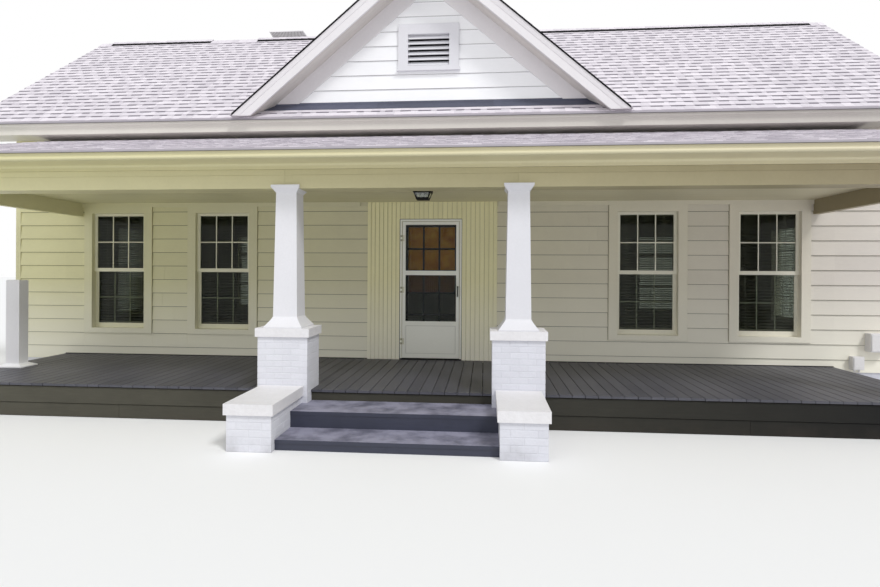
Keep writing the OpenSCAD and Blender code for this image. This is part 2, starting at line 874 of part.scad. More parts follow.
module porch_deck() {
    color(charcoal) place() translate([0, 0, -deck_t]) linear_extrude(deck_t) difference() {
        translate([-porch_half_w, -porch_d]) square([2 * porch_half_w, porch_d - seat]);
        for (x = all_pier_x) {
            pier_plan(x, seat);
        }
        translate([half_w - small_box_in - small_box_w / 2 - seat, -small_box_d - seat])
            square([small_box_w + 2 * seat, small_box_d + cut]);
    }
}

module porch_frame() {
    z1 = -deck_t - seat;
    z0 = z1 - joist_h;
    x1 = porch_half_w - deck_lip - skirt_t - seat;
    y1 = -porch_d + deck_lip + skirt_t + seat;
    color("#8a7a62") place() difference() {
        union() {
            span([-x1, -joist_t - seat, z0], [x1, -seat, z1]);
            span([-x1, y1, z0], [x1, y1 + joist_t, z1]);
            for (i = [0 : joist_count - 1]) {
                x = -x1 + i * (2 * x1 - joist_t) / (joist_count - 1);
                span([x, y1, z0], [x + joist_t, -seat, z1]);
            }
        }
        translate([0, 0, z0 - cut]) linear_extrude(joist_h + 2 * cut) for (x = all_pier_x) {
            pier_plan(x, seat);
        }
    }
}

// The skirt's outline: an upper board over a lower one that is set back a little
module skirt_outline() {
    z1 = -deck_t - seat;
    polygon([
        [0, z1],
        [0, -skirt_board_h],
        [skirt_step, -skirt_board_h],
        [skirt_step, -porch_h],
        [skirt_t, -porch_h],
        [skirt_t, z1]
    ]);
}

module porch_skirt() {
    y0 = -porch_d + deck_lip;
    x1 = porch_half_w - deck_lip;
    color(charcoal) place() {
        for (i = [0 : 2]) {
            translate([0, y0, 0])
                along_x(all_pier_x[i] + pier_w / 2 + seat, all_pier_x[i + 1] - pier_w / 2 - seat)
                    skirt_outline();
        }
        for (side = [-1, 1]) {
            mirror([side < 0 ? 1 : 0, 0, 0]) translate([x1, 0, 0]) rotate([0, 0, 90])
                along_x(-pier_y0 + seat, -seat) skirt_outline();
        }
    }
}

// Steps between the cheek walls
module tread(front, top, back, foot) {
    along_x(steps_x - pier_x + cheek_w / 2 + seat, steps_x + pier_x - cheek_w / 2 - seat) polygon([
        [-back, top],
        [-front, top],
        [-front, top - tread_t],
        [-front + nosing, top - tread_t],
        [-front + nosing, foot],
        [-front + nosing + riser_t, foot],
        [-front + nosing + riser_t, top - tread_t],
        [-back, top - tread_t]
    ]);
}

module porch_steps() {
    color(charcoal) place() difference() {
        union() {
            tread(tread1_y, -tread1_drop, porch_d - deck_lip + seat, -tread2_drop + seat);
            tread(tread2_y, -tread2_drop, tread1_y - nosing - riser_t - 60, -porch_h);
        }
        for (x = entry_pier_x) {
            translate([0, 0, -porch_h - cut]) linear_extrude(porch_h + 2 * cut) pier_plan(x, seat);
        }
    }
}

// Brick piers, cheek walls and their caps
module porch_piers() {
    color(white) place() translate([0, 0, -porch_h])
        linear_extrude(porch_h + pier_cap_z - pier_cap_t - seat) for (x = all_pier_x) {
            pier_plan(x, 0);
        }
}

module cheek_walls() {
    color(white) place() for (x = entry_pier_x) {
        span([x - cheek_w / 2, -cheek_y, -porch_h],
            [x + cheek_w / 2, -pier_y1 - seat, cheek_cap_z - cheek_cap_t - seat]);
    }
}

module masonry_caps() {
    w = cheek_w / 2 + cap_lip;
    color(white) place() {
        translate([0, 0, pier_cap_z - pier_cap_t]) linear_extrude(pier_cap_t) for (x = all_pier_x) {
            pier_plan(x, cap_lip);
        }
        for (x = entry_pier_x) {
            span([x - w, -cheek_y - cap_lip, cheek_cap_z - cheek_cap_t],
                [x + w, -pier_y1 - seat, cheek_cap_z]);
        }
    }
}

// Tapered box columns with a flared foot and a flared capital
// Width of the flare at a share of its height
function flare_w(t) = column_w0 + (foot_w - column_w0) * pow(1 - t, 1.2);

// The capital's front stands up as a lip in front of the beam
module column() {
    z0 = pier_cap_z + seat;
    z1 = beam_z - seat;
    flare_h = foot_h - plinth_h;
    steps = 4;
    capital_edge = 24;
    widths = concat(
        [[z0, foot_w]],
        [for (i = [0 : steps]) [z0 + plinth_h + i * flare_h / steps, flare_w(i / steps)]],
        [[z1 - capital_h, column_w1], [z1 + capital_lip - capital_edge, capital_w],
            [z1 + capital_lip, capital_w]]
    );
    difference() {
        loft([for (w = widths) [w[0], w[1], w[1]]]);
        span([-capital_w, -beam_t / 2 - seat, z1], [capital_w, capital_w, z1 + capital_lip + cut]);
    }
}

module porch_columns() {
    color(white) place() for (x = all_pier_x) {
        translate([x, -column_y, 0]) column();
    }
}

module newel_post() {
    foot_z = 14;
    taper_z = 48;
    cap = 12;
    color(white) place() translate([newel_x, -newel_y, seat]) loft([
        [0, newel_foot_w, newel_foot_d],
        [foot_z, newel_foot_w, newel_foot_d],
        [taper_z, newel_w, newel_d],
        [newel_h - cap, newel_w, newel_d],
        [newel_h, newel_w * 0.88, newel_d * 0.88]
    ]);
}

// Porch ceiling, beams and roof
module porch_ceiling() {
    x = corner_x - beam_t / 2 - seat;
    color(cream) place()
        span([-x, -beam_y0 + seat, porch_ceiling_z],
            [x, -seat, porch_ceiling_z + porch_ceiling_t]);
}

module porch_beams() {
    x = corner_x + beam_t / 2;
    side_x = corner_x - beam_t / 2;
    side_y0 = casing_t + seat;
    side_y1 = beam_y0 - seat;
    capital_y = column_y - capital_w / 2 - seat;
    side_z = beam_z - side_beam_drop;
    color(cream) place() {
        along_x(-x, x) polygon([
            [-beam_y1, beam_z],
            [-beam_y0, beam_z],
            [-beam_y0, beam_top(beam_y0)],
            [-beam_y1, beam_top(beam_y1)]
        ]);
        for (side = [-1, 1]) {
            mirror([side < 0 ? 1 : 0, 0, 0]) along_x(side_x, side_x + side_beam_t) polygon([
                [-side_y0, side_z],
                [-side_y0, beam_top(side_y0)],
                [-side_y1, beam_top(side_y1)],
                [-side_y1, beam_z],
                [-capital_y, beam_z],
                [-capital_y, side_z]
            ]);
        }
    }
}

module porch_roof() {
    x = porch_half_w + porch_roof_side;
    back = panel_t + 6;
    inner = porch_fascia_back - seat;
    color(shingle) place() along_x(-x, x) polygon([
        [-porch_roof_out, porch_top(porch_roof_out)],
        [-porch_roof_out, porch_top(porch_roof_out) - shingle_t],
        [-inner, porch_top(inner) - shingle_t],
        [-inner, porch_top(inner) - porch_roof_t],
        [-back, porch_top(back) - porch_roof_t],
        [-back, porch_top(back)]
    ]);
}

// Porch fascia with a round bead along its bottom
module porch_fascia_outline() {
    z0 = porch_fascia_z1 - porch_fascia_h;
    front = -porch_roof_out + shingle_lip;
    bead = porch_fascia_h / 4;
    translate([front, z0]) square([porch_fascia_t, porch_fascia_h]);
    translate([front, z0 + bead]) circle(bead, $fn = 32);
}

// Porch soffit with a moulding where it meets the front beam
module porch_soffit_outline() {
    z0 = porch_fascia_z1 - porch_fascia_h;
    front = -porch_roof_out + shingle_lip;
    wall = -beam_y1 - seat;
    step_t = porch_mould / 2;
    translate([front, z0]) square([wall - front, soffit_t]);
    translate([wall - step_t, z0 - 2 * porch_mould]) square([step_t, 2 * porch_mould + 1]);
    difference() {
        translate([wall - porch_mould - step_t, z0 - porch_mould])
            square([porch_mould + 1, porch_mould + 1]);
        translate([wall - porch_mould - step_t, z0 - porch_mould])
            circle(porch_mould, $fn = 32);
    }
}

module porch_eaves() {
    x1 = porch_half_w + porch_roof_side - shingle_lip / 2;
    x0 = x1 - fascia_t - seat;
    color(cream) place() {
        along_x(-x1, x1) porch_fascia_outline();
        along_x(-x0, x0) porch_soffit_outline();
        for (side = [-1, 1]) {
            mirror([side < 0 ? 1 : 0, 0, 0]) porch_rake(x0 + seat, x1);
        }
    }
}

// Sloping board under the end of the porch roof
module porch_rake(x0, x1) {
    front = porch_fascia_back - seat;
    back = panel_t + cut;
    drop = porch_roof_t + seat;
    along_x(x0, x1) polygon([
        [-front, porch_top(front) - drop],
        [-front, porch_top(front) - drop - porch_rake_h],
        [-back, porch_top(back) - drop - porch_rake_h],
        [-back, porch_top(back) - drop]
    ]);
}

// Main roof
module roof_slope_slab() {
    lip_y = -eave_out - shingle_lip;
    back_y = -eave_out + eave_deep + seat;
    along_x(-roof_half_w, roof_half_w) polygon([
        [lip_y, main_top(lip_y)],
        [lip_y, main_top(lip_y) - shingle_t],
        [back_y, main_top(back_y) - shingle_t],
        [back_y, main_top(back_y) - roof_t],
        [ridge_y, ridge_z - roof_t],
        [ridge_y, ridge_z]
    ]);
}

module main_roof_front() {
    color(shingle) place() roof_slope_slab();
}

module main_roof_back() {
    color(shingle) place() to_back() roof_slope_slab();
}

// Moulded fascia with its soffit: a coved crown over a plain band
module eave_outline() {
    z1 = fascia_top - shingle_lip * roof_slope - seat;
    z0 = fascia_top - fascia_h;
    cove_z = z1 - crown_h;
    difference() {
        translate([-eave_out, z0]) square([eave_out - seat, z1 - z0]);
        translate([-eave_out + eave_deep, z0 + soffit_t]) square([eave_out, z1]);
        translate([-eave_out - cut, z0 - cut]) square([cut + crown_out, cove_z - z0 + cut]);
        translate([-eave_out + crown_out - crown_h * 0.85, cove_z])
            circle(crown_h * 0.85, $fn = 48);
    }
}

module main_eaves() {
    x = roof_half_w - fascia_t - seat;
    color(white) place() {
        along_x(-x, x) eave_outline();
        to_back() along_x(-x, x) eave_outline();
    }
}

// Rake boards on the ends of the main roof, and on the front gable
module end_rake() {
    lip_y = -eave_out;
    top = shingle_t + seat;
    polygon([
        [lip_y, main_top(lip_y) - top],
        [lip_y, main_top(lip_y) - rake_h + 60],
        [lip_y + 60, main_top(lip_y + 60) - rake_h],
        [ridge_y - seat, ridge_z - rake_h],
        [ridge_y - seat, ridge_z - top]
    ]);
}

module rake_boards() {
    top = shingle_t + seat;
    y0 = gable_rake_y;
    y1 = -gable_out;
    frieze_top = roof_t + seat * 2;
    color(white) place() {
        for (side = [-1, 1], far = [0, 1]) {
            x = side * (roof_half_w + seat + fascia_t / 2);
            translate([0, far * house_d, 0]) mirror([0, far, 0])
                along_x(x - fascia_t / 2, x + fascia_t / 2) end_rake();
        }
        for (side = [-1, 1]) {
            mirror([side < 0 ? 1 : 0, 0, 0]) {
                difference() {
                    along_y(y0, y0 + fascia_t) gable_board(top, rake_h);
                    below_main_roof();
                }
                difference() {
                    along_y(y1 - panel_t - 6, y1 - seat)
                        gable_board(frieze_top, frieze_top + gable_frieze_h);
                    below_main_roof();
                }
            }
        }
    }
}

// A sloping board of the right half of the gable, between two drops below the shingles
module gable_board(drop0, drop1) {
    x1 = gable_half_w + 60;
    polygon([
        [seat, gable_ridge_z - drop0],
        [seat, gable_ridge_z - drop1],
        [x1, gable_top(x1) - drop1],
        [x1, gable_top(x1) - drop0]
    ]);
}

module gable_roof() {
    y0 = gable_rake_y + fascia_t + seat;
    lip_y = gable_rake_y - shingle_lip;
    color(shingle) place() for (side = [-1, 1]) {
        mirror([side < 0 ? 1 : 0, 0, 0]) difference() {
            union() {
                along_y(y0, ridge_y) gable_board(0, roof_t);
                along_y(lip_y, ridge_y) gable_board(0, shingle_t);
            }
            below_main_roof();
        }
    }
}

// Louvred vent in the front gable
module gable_vent() {
    w = vent_w / 2;
    frame_t = 45;
    sill_out = 18;
    sill_h = 40;
    blade_t = 12;
    blade_d = 60;
    blade_in = 8;
    z0 = vent_z - vent_h / 2;
    pitch = (vent_open_z1 - vent_open_z0) / vent_louvres;
    rise = pitch * 0.42;
    color(white) place() translate([0, -gable_out, 0]) {
        difference() {
            union() {
                span([-w, -frame_t, z0], [w, -seat, z0 + vent_h]);
                span([-w - sill_out, -frame_t - sill_out, z0], [w + sill_out, -seat, z0 + sill_h]);
            }
            span([-vent_open_x, -frame_t - cut, vent_open_z0], [vent_open_x, cut, vent_open_z1]);
        }
        for (i = [0 : vent_louvres - 1]) {
            translate([0, -frame_t + blade_in, vent_open_z0 + (i + 0.5) * pitch])
                along_x(-vent_open_x, vent_open_x) polygon([
                    [0, -rise],
                    [blade_t, -rise],
                    [blade_d, rise],
                    [blade_d - blade_t, rise]
                ]);
        }
    }
}

// Box vent behind the main ridge: a curb with a hopper-shaped head under a flat lid
module roof_vent() {
    head_out = 62;
    lid_t = 18;
    lid_out = 12;
    top = ridge_z + roof_vent_rise;
    y0 = ridge_y + roof_vent_back;
    w = roof_vent_w;
    d = roof_vent_d;
    foot = 2 * (head_out + lid_out);
    color("#b9bcc0") place() {
        difference() {
            translate([roof_vent_x, y0 + d / 2, eave_z]) linear_extrude(top - lid_t - eave_z)
                square([w - foot, d - foot], center = true);
            to_back() below_back_cut();
        }
        translate([roof_vent_x, y0 + d / 2, 0]) loft([
            [top - roof_vent_head, w - foot, d - foot],
            [top - lid_t, w - 2 * lid_out, d - 2 * lid_out],
            [top - lid_t, w, d],
            [top, w, d]
        ]);
    }
}

// Everything below the top of a roof slope, past the ridge as well
module below_back_cut() {
    along_x(-roof_half_w, roof_half_w) polygon([
        [-eave_out, -porch_h],
        [-eave_out, eave_z + seat],
        [ridge_y + cut, main_top(ridge_y + cut) + seat],
        [ridge_y + cut, -porch_h]
    ]);
}

// Lantern on the porch ceiling
module porch_light() {
    z1 = porch_ceiling_z - seat;
    plate = 14;
    canopy = 40;
    rings = [
        [z1 - light_h, light_w1],
        [z1 - light_h + plate, light_w1],
        [z1 - canopy - 2 * plate, light_w * 0.86],
        [z1 - canopy - 2 * plate, light_w],
        [z1 - canopy, light_w],
        [z1 - canopy, light_w1],
        [z1, light_w1]
    ];
    color("#141416") place() translate([light_x, -light_y, 0])
        loft([for (ring = rings) [ring[0], ring[1], ring[1]]]);
}

// Utility boxes on the right of the front wall
module wall_box(x, z, w, h, deep) {
    lid_t = 10;
    rim = 12;
    translate([x, 0, z]) {
        span([-w / 2, -deep + lid_t, -h / 2], [w / 2, -seat, h / 2]);
        span([-w / 2 + rim, -deep, -h / 2 + rim], [w / 2 - rim, -deep + lid_t, h / 2 - rim]);
    }
}

module utility_boxes() {
    color("#e6e5e2") place() {
        wall_box(half_w - small_box_in, small_box_z, small_box_w, small_box_h, small_box_d);
        wall_box(half_w - tall_box_in, tall_box_z, tall_box_w, tall_box_h, tall_box_d);
    }
}

foundation();
house_floor();
house_ceiling();
front_wall_left();
front_wall_right();
front_wall_head();
back_wall();
end_walls();
gable_wall();
wall_trim();
entry_panel();
window_frames();
window_sashes();
window_glass();
window_blinds();
door_frame();
door_hinges();
front_door();
front_door_glass();
front_door_fittings();
storm_door();
storm_door_glass();
storm_door_fittings();
porch_deck();
porch_frame();
porch_skirt();
porch_steps();
porch_piers();
cheek_walls();
masonry_caps();
porch_columns();
newel_post();
porch_ceiling();
porch_beams();
porch_roof();
porch_eaves();
main_roof_front();
main_roof_back();
main_eaves();
rake_boards();
gable_roof();
gable_vent();
roof_vent();
porch_light();
utility_boxes();
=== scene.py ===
import math
import random

import bmesh
import bpy
from mathutils import Matrix, Vector


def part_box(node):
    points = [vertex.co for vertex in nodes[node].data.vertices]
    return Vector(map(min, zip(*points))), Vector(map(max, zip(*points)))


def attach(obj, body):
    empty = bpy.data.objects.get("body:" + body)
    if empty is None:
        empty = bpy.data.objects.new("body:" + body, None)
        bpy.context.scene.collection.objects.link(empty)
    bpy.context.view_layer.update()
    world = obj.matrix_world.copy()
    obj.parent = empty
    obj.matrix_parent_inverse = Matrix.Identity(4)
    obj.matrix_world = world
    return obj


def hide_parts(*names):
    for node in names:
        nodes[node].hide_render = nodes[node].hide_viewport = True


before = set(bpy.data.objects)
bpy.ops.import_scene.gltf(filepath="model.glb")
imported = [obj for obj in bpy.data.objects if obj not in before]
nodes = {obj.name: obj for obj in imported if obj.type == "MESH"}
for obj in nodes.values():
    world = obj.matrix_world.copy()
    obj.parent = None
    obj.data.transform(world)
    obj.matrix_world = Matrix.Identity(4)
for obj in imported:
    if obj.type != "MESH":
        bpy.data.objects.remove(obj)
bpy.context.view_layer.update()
scene = bpy.context.scene
chance = random.Random(7)

# Every place below is measured from the middle of the front wall at the porch floor
WALL_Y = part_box("front_wall_left")[0].y
FLOOR_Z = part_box("porch_deck")[1].z
SIDES = (-1, 1)
SQUARE = ((-1, -1), (1, -1), (1, 1), (-1, 1))


def local(x, y, z):
    """The point x to the right of that middle, y into the house and z above the floor."""
    return Vector((x, WALL_Y + y, FLOOR_Z + z))


def along_x(y, z, x):
    return local(x, y, z)


def box_of(name):
    """The low and the high corner of a CAD node, given as local takes them."""
    return [corner - Vector((0, WALL_Y, FLOOR_Z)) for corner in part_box(name)]


# The house and its openings, read from the frame where it holds them
HALF_W = box_of("foundation")[1].x
HOUSE_D = box_of("foundation")[1].y
head_low, head_high = box_of("front_wall_head")
DOOR_X = (head_low.x + head_high.x) / 2
DOOR_HALF = (head_high.x - head_low.x) / 2
DOOR_TOP = head_low.z
WALL_Z0 = box_of("front_wall_left")[0].z
CEILING_Z = box_of("porch_ceiling")[0].z
SOFFIT_Z = box_of("main_eaves")[0].z
GABLE_Y = box_of("gable_wall")[0].y
RIDGE_Y = HOUSE_D / 2
WINDOWS_X = (-4.855, -3.175, 3.175, 4.855)
SILL_Z, HEAD_Z = 0.4, 2.205
CASING_HALF, CASING_LOW, CASING_HIGH = 0.5525, 0.335, 2.29
CASING_GAP = 0.006
ROOF_T = 0.19


# Materials
def srgb(code):
    """The linear value of a colour given as 0xRRGGBB, as it is read from a picture."""
    shares = [(code >> shift & 255) / 255 for shift in (16, 8, 0)]
    return (*(c / 12.92 if c <= 0.04045 else ((c + 0.055) / 1.055) ** 2.4 for c in shares), 1.0)


class Graph:
    """Builds a node tree. A value is a number, a colour, a vector or another node's output."""

    def __init__(self, owner):
        owner.use_nodes = True
        self.tree = owner.node_tree

    def feed(self, socket, value):
        if isinstance(value, bpy.types.NodeSocket):
            self.tree.links.new(value, socket)
        else:
            socket.default_value = value

    def add(self, kind, settings=(), inputs=(), **named):
        """A node with its settings, inputs by number and inputs by name, _ for a space."""
        made = self.tree.nodes.new("ShaderNode" + kind)
        for key, value in settings:
            setattr(made, key, value)
        for key, value in (*inputs, *((key.replace("_", " "), named[key]) for key in named)):
            self.feed(made.inputs[key], value)
        return made.outputs

    def maths(self, operation, *values, clamp=False):
        settings = (("operation", operation), ("use_clamp", clamp))
        return self.add("Math", settings, enumerate(values))[0]

    def blend(self, factor, first, second):
        """A colour mixed from two."""
        return self.add("Mix", [("data_type", "RGBA")], ((0, factor), (6, first), (7, second)))[2]

    def both(self, factor, first, second):
        """A shader mixed from two."""
        return self.add("MixShader", (), enumerate((factor, first, second)))[0]

    def ranged(self, value, low, high, to_low=0.0, to_high=1.0):
        """A value taken from low to high over to the range from to_low to to_high."""
        return self.add("MapRange", (), enumerate((value, low, high, to_low, to_high)))[0]

    def part(self, vector, axis):
        return self.add("SeparateXYZ", Vector=vector)[axis]


def new_material(name, cad_nodes):
    """A material, which the named nodes of the CAD wear instead of their own."""
    made = bpy.data.materials.new(name)
    for node in cad_nodes.split():
        nodes[node].data.materials.clear()
        nodes[node].data.materials.append(made)
    return made


def surface(name, cad_nodes, light, dark, rough=0.5, grain=60.0, bump=0.15, depth=0.002, blotch=2.5,
            stretch=(1, 1, 1), tones=0.5, metallic=0.0, specular=0.5, fleck=0.0, dirt=None,
            painted_shade=None, dust_and_sky_light=None, left_part=None, right=None, low=None):
    """A procedural material: two colours mixed by noise and by each piece's own tone, with
    roughness and bump from noise as well. A tone below zero shows the shade colour, which is
    painted shade, and the colour for what looks up is dust and painted sky light. dirt is
    (amount, height, colour) for stains near the ground, left_part is (x, colour) for all that
    lies left of x, right gives the two colours towards which the colour drifts along the house,
    painted light and shade, and low the paler one towards its foot, painted light from below."""
    made = new_material(name, cad_nodes)
    graph = Graph(made)
    place = graph.add("TexCoord")["Object"]
    scaled = graph.add("Mapping", Vector=place, Scale=stretch)["Vector"]
    wide = graph.add("TexNoise", Vector=place, Scale=blotch, Detail=4.0, Roughness=0.6)["Fac"]
    fine = graph.add("TexNoise", Vector=scaled, Scale=grain, Detail=5.0, Roughness=0.65)["Fac"]
    own_tone = graph.add("Attribute", [("attribute_name", "tone")])["Fac"]
    mottle = graph.maths("MULTIPLY_ADD", wide, 1 - tones, graph.maths("MULTIPLY", own_tone, tones))
    mottle = graph.maths("MULTIPLY_ADD", fine, 0.5 + fleck, mottle)
    mottle = graph.ranged(mottle, 0.45, 1.05 + fleck * 0.6)
    colour = graph.blend(mottle, srgb(dark), srgb(light))
    # Towards the house's right end the colour drifts: painted light and shade
    if right:
        other = graph.blend(mottle, srgb(right[1]), srgb(right[0]))
        colour = graph.blend(graph.ranged(graph.part(place, "X"), -5.0, 6.0), colour, other)
    # Paler towards the foot: painted light from the ground
    if low:
        painted_foot_light = graph.ranged(graph.part(place, "Z"), 1.6, 0.45, to_high=0.85)
        colour = graph.blend(painted_foot_light, colour, srgb(low))
    if dirt:
        amount, height, stain = dirt
        near_ground = graph.ranged(graph.part(place, "Z"), height, 0.0)
        patches = graph.maths("MULTIPLY", near_ground, graph.ranged(wide, 0.42, 0.68))
        colour = graph.blend(graph.maths("MULTIPLY", patches, amount), colour, srgb(stain))
    # On what looks up: dust and painted sky light
    if dust_and_sky_light:
        upward = graph.ranged(graph.part(graph.add("NewGeometry")["Normal"], "Z"), 0.6, 0.95)
        dust_and_light_patches = graph.ranged(wide, 0.36, 0.6, to_low=0.35)
        colour = graph.blend(graph.maths("MULTIPLY", upward, dust_and_light_patches), colour, srgb(dust_and_sky_light))
    if left_part:
        is_left = graph.maths("LESS_THAN", graph.part(place, "X"), left_part[0])
        colour = graph.blend(is_left, colour, srgb(left_part[1]))
    # Where a piece's tone is below zero: painted shade
    if painted_shade:
        below_zero = graph.maths("MULTIPLY", own_tone, -1.0, clamp=True)
        colour = graph.blend(below_zero, colour, srgb(painted_shade))
    relief = graph.add("Bump", Strength=bump, Distance=depth, Height=fine)["Normal"]
    roughness = graph.ranged(fine, 0.0, 1.0, rough - 0.08, rough + 0.08)
    for socket, value in (("Base Color", colour), ("Roughness", roughness), ("Normal", relief),
                          ("Metallic", metallic), ("Specular IOR Level", specular)):
        graph.feed(graph.tree.nodes["Principled BSDF"].inputs[socket], value)
    return made


def pane_material(name, cad_nodes, tint, shine, index=1.3, haze=0.0):
    """Thin glass: mostly see-through, mirror-like at grazing angles, and hazy if asked."""
    made = new_material(name, cad_nodes)
    graph = Graph(made)
    graph.tree.nodes.remove(graph.tree.nodes["Principled BSDF"])
    place = graph.add("TexCoord")["Object"]
    waves = graph.add("TexNoise", Vector=place, Scale=1.6, Detail=2.0)["Fac"]
    relief = graph.add("Bump", Strength=0.05, Distance=0.01, Height=waves)["Normal"]
    r, g, b = tint
    shades = graph.blend(waves, (r, g, b, 1), (r * 0.93, g * 0.95, b * 0.95, 1))
    through = graph.add("BsdfTransparent", Color=shades)[0]
    if haze:
        milk = graph.add("BsdfDiffuse", Color=(0.82, 0.84, 0.8, 1))[0]
        through = graph.both(haze, through, milk)
    roughness = graph.ranged(waves, 0.0, 1.0, 0.01, 0.05)
    mirror = graph.add("BsdfGlossy", Roughness=roughness, Normal=relief)[0]
    edge = graph.add("Fresnel", IOR=index, Normal=relief)[0]
    mixed = graph.both(graph.maths("MULTIPLY", edge, shine), through, mirror)
    graph.feed(graph.tree.nodes["Material Output"].inputs["Surface"], mixed)
    return made


PAINT = {"grain": 35, "bump": 0.1}
TRIM_PAINT = {"grain": 35, "bump": 0.12}
WHITE_PAINT = {"rough": 0.48, "grain": 40, "bump": 0.1}
LAPPED = {"rough": 0.55, "grain": 90, "bump": 0.22, "depth": 0.003, "stretch": (0.15, 0.15, 1)}
# Painted light in these paints: the porch's olive cream is partly the paint's own colour and partly
# painted green light from the lawn; the pale foot colours are painted light from the ground, each right
# pair is painted light and shade along the house, and the dark colours for tones below zero are painted
# shade.
PAINTED_FOOT_LIGHT = 0xF6F3E4
STAIN = 0x463E34
CREAM = surface("cream_paint", "porch_eaves", 0xDED9AC, 0xD2CDA0, painted_shade=0x807C5C,
                right=(0xDED5BA, 0xD2C9AE), **PAINT)
# The beam darkens much towards its right end: painted shade
BEAM = surface("beam_paint", "porch_beams", 0xDED9AC, 0xD2CDA0, painted_shade=0x807C5C,
               right=(0x9E9176, 0x92856A), **PAINT)
surface("casing_paint", "wall_trim window_frames door_frame", 0xE0DCB2, 0xD4D0A6,
        right=(0xE8E1D4, 0xDCD5C8), low=PAINTED_FOOT_LIGHT, **PAINT)
BOARDS = surface("grooved_boards", "", 0xF6F0C1, 0xEAE4B6, painted_shade=0x8C8868, low=0xFCF9EB, **PAINT)
SIDING_CREAM = surface("cream_siding", "front_wall_left front_wall_right front_wall_head", 0xDEDAAB,
                       0xD2CEA0, painted_shade=0x706C56, right=(0xDDD6CE, 0xD1CAC3), low=PAINTED_FOOT_LIGHT, **LAPPED)
SIDING_SIDES = surface("cream_siding_sides", "back_wall end_walls", 0xE2DECB, 0xD6D2C0,
                       painted_shade=0x746F62, **LAPPED)
SIDING_WHITE = surface("white_siding", "gable_wall", 0xFAFAFC, 0xF0F1F3, painted_shade=0x969492,
                       **{**LAPPED, "rough": 0.5, "bump": 0.2})
SASH = surface("sash_paint", "window_sashes", 0xEEEBCE, 0xE2DFC2, rough=0.45, grain=40, bump=0.08,
               right=(0xF1EDDF, 0xE5E1D3))
# The eave trim darkens towards the right end: painted shade
surface("trim_paint", "main_eaves", 0xE5E1D8, 0xD8D4CB, painted_shade=0x8C867E, right=(0xCAC5BF, 0xBDB8B2),
        **TRIM_PAINT)
RAKE = surface("rake_paint", "rake_boards", 0xEEEBED, 0xE2DFE1, painted_shade=0x8C8684, **TRIM_PAINT)
SOFFIT = surface("soffit_paint", "", 0xDED9D4, 0xCEC9C4, **TRIM_PAINT)
# The columns and vent turn greyer towards the right end: painted shade
surface("white_paint", "gable_vent porch_columns", 0xEFEEF1, 0xE4E3E6, right=(0xDBDBE2, 0xD0D0D7),
        **WHITE_PAINT)
# The newel post wears a brighter copy of the white paint: painted light
surface("newel_paint", "newel_post", 0xFAF9FC, 0xF0EFF2, **WHITE_PAINT)
# Brick and mortar turn greyer towards the right end: painted shade; the stains near the ground are dirt
BRICK = surface("painted_brick", "", 0xE8E8ED, 0xD9D9DE, rough=0.62, grain=45, bump=0.35, depth=0.004,
                dirt=(0.5, 0.2, STAIN), fleck=0.1, right=(0xD4D5DF, 0xC5C6D0))
MORTAR = surface("painted_mortar", "", 0xE4E4E8, 0xD5D5D9, rough=0.7, grain=80, bump=0.4, depth=0.004,
                 dirt=(0.5, 0.2, STAIN), right=(0xD0D1DB, 0xC1C2CC))
surface("painted_concrete", "masonry_caps", 0xEEEDF0, 0xDEDCDE, rough=0.6, grain=30, bump=0.55,
        depth=0.008, fleck=0.25, blotch=6)
DECK = surface("deck_paint", "", 0x53535B, 0x3B3B43, grain=70, bump=0.3,
               depth=0.003, stretch=(1, 0.08, 1), tones=0.6)
# The lighter colour on the steps' tops is dust and painted sky light
surface("step_paint", "porch_steps", 0x404356, 0x323544, grain=40, bump=0.25, depth=0.003,
        stretch=(0.1, 1, 1), blotch=4, dust_and_sky_light=0x9695A8)
# The skirting turns almost black towards the right end: painted shade; the stains near the ground are
# dirt
SKIRT = surface("skirt_paint", "", 0x5C5A4F, 0x4A483F, rough=0.55, bump=0.3, depth=0.003,
                stretch=(0.08, 1, 1), dirt=(0.35, 0.16, 0x423A34),
                right=(0x0E0F14, 0x08090D), specular=0.15)
surface("joist_timber", "porch_frame", 0x967E5C, 0x705A3E, rough=0.8, bump=0.4, stretch=(1, 0.1, 1))
surface("floor_boards", "house_floor", 0x966842, 0x704A2C, rough=0.4, grain=40, bump=0.2,
        stretch=(0.1, 1, 1))
surface("ceiling_plaster", "house_ceiling", 0xE2E0DA, 0xD4D2CC, rough=0.85, grain=120, bump=0.3)
# The shingles' dark colours show their printed shadow bands and painted shade below the courses
SHINGLE = surface("asphalt_shingle", "", 0xEAE4EA, 0xC4BEC6, rough=0.92, grain=420,
                  bump=0.6, depth=0.004, fleck=0.35, blotch=1.2, painted_shade=0x625D68)
SHINGLE_LOW = surface("weathered_shingle", "", 0xF6F0F5, 0xBCB5BE, rough=0.92, grain=200, bump=0.6,
                      depth=0.004, tones=0.65, fleck=0.1, blotch=2, painted_shade=0x706B76)
surface("roof_edge", "main_roof_front main_roof_back gable_roof porch_roof", 0xC4BEC5, 0xA8A3AA,
        rough=0.9, grain=200, bump=0.4)
# The dark gap colour is painted shade in the gaps at the siding's foot, below the deck boards and round
# the storm door; on the door's sill it is the sill's own colour
DARK = surface("dark_gap", "", 0x282624, 0x1A1918, rough=0.8, bump=0.2, specular=0.1)
BLACK = surface("black_metal", "", 0x18181B, 0x0C0C0E, rough=0.6, grain=80, bump=0.12, specular=0.12)
surface("handle_metal", "storm_door_fittings", 0x1E1E21, 0x101012, rough=0.42, grain=80, bump=0.12,
        left_part=(DOOR_X, 0xDEDCC8), specular=0.25)
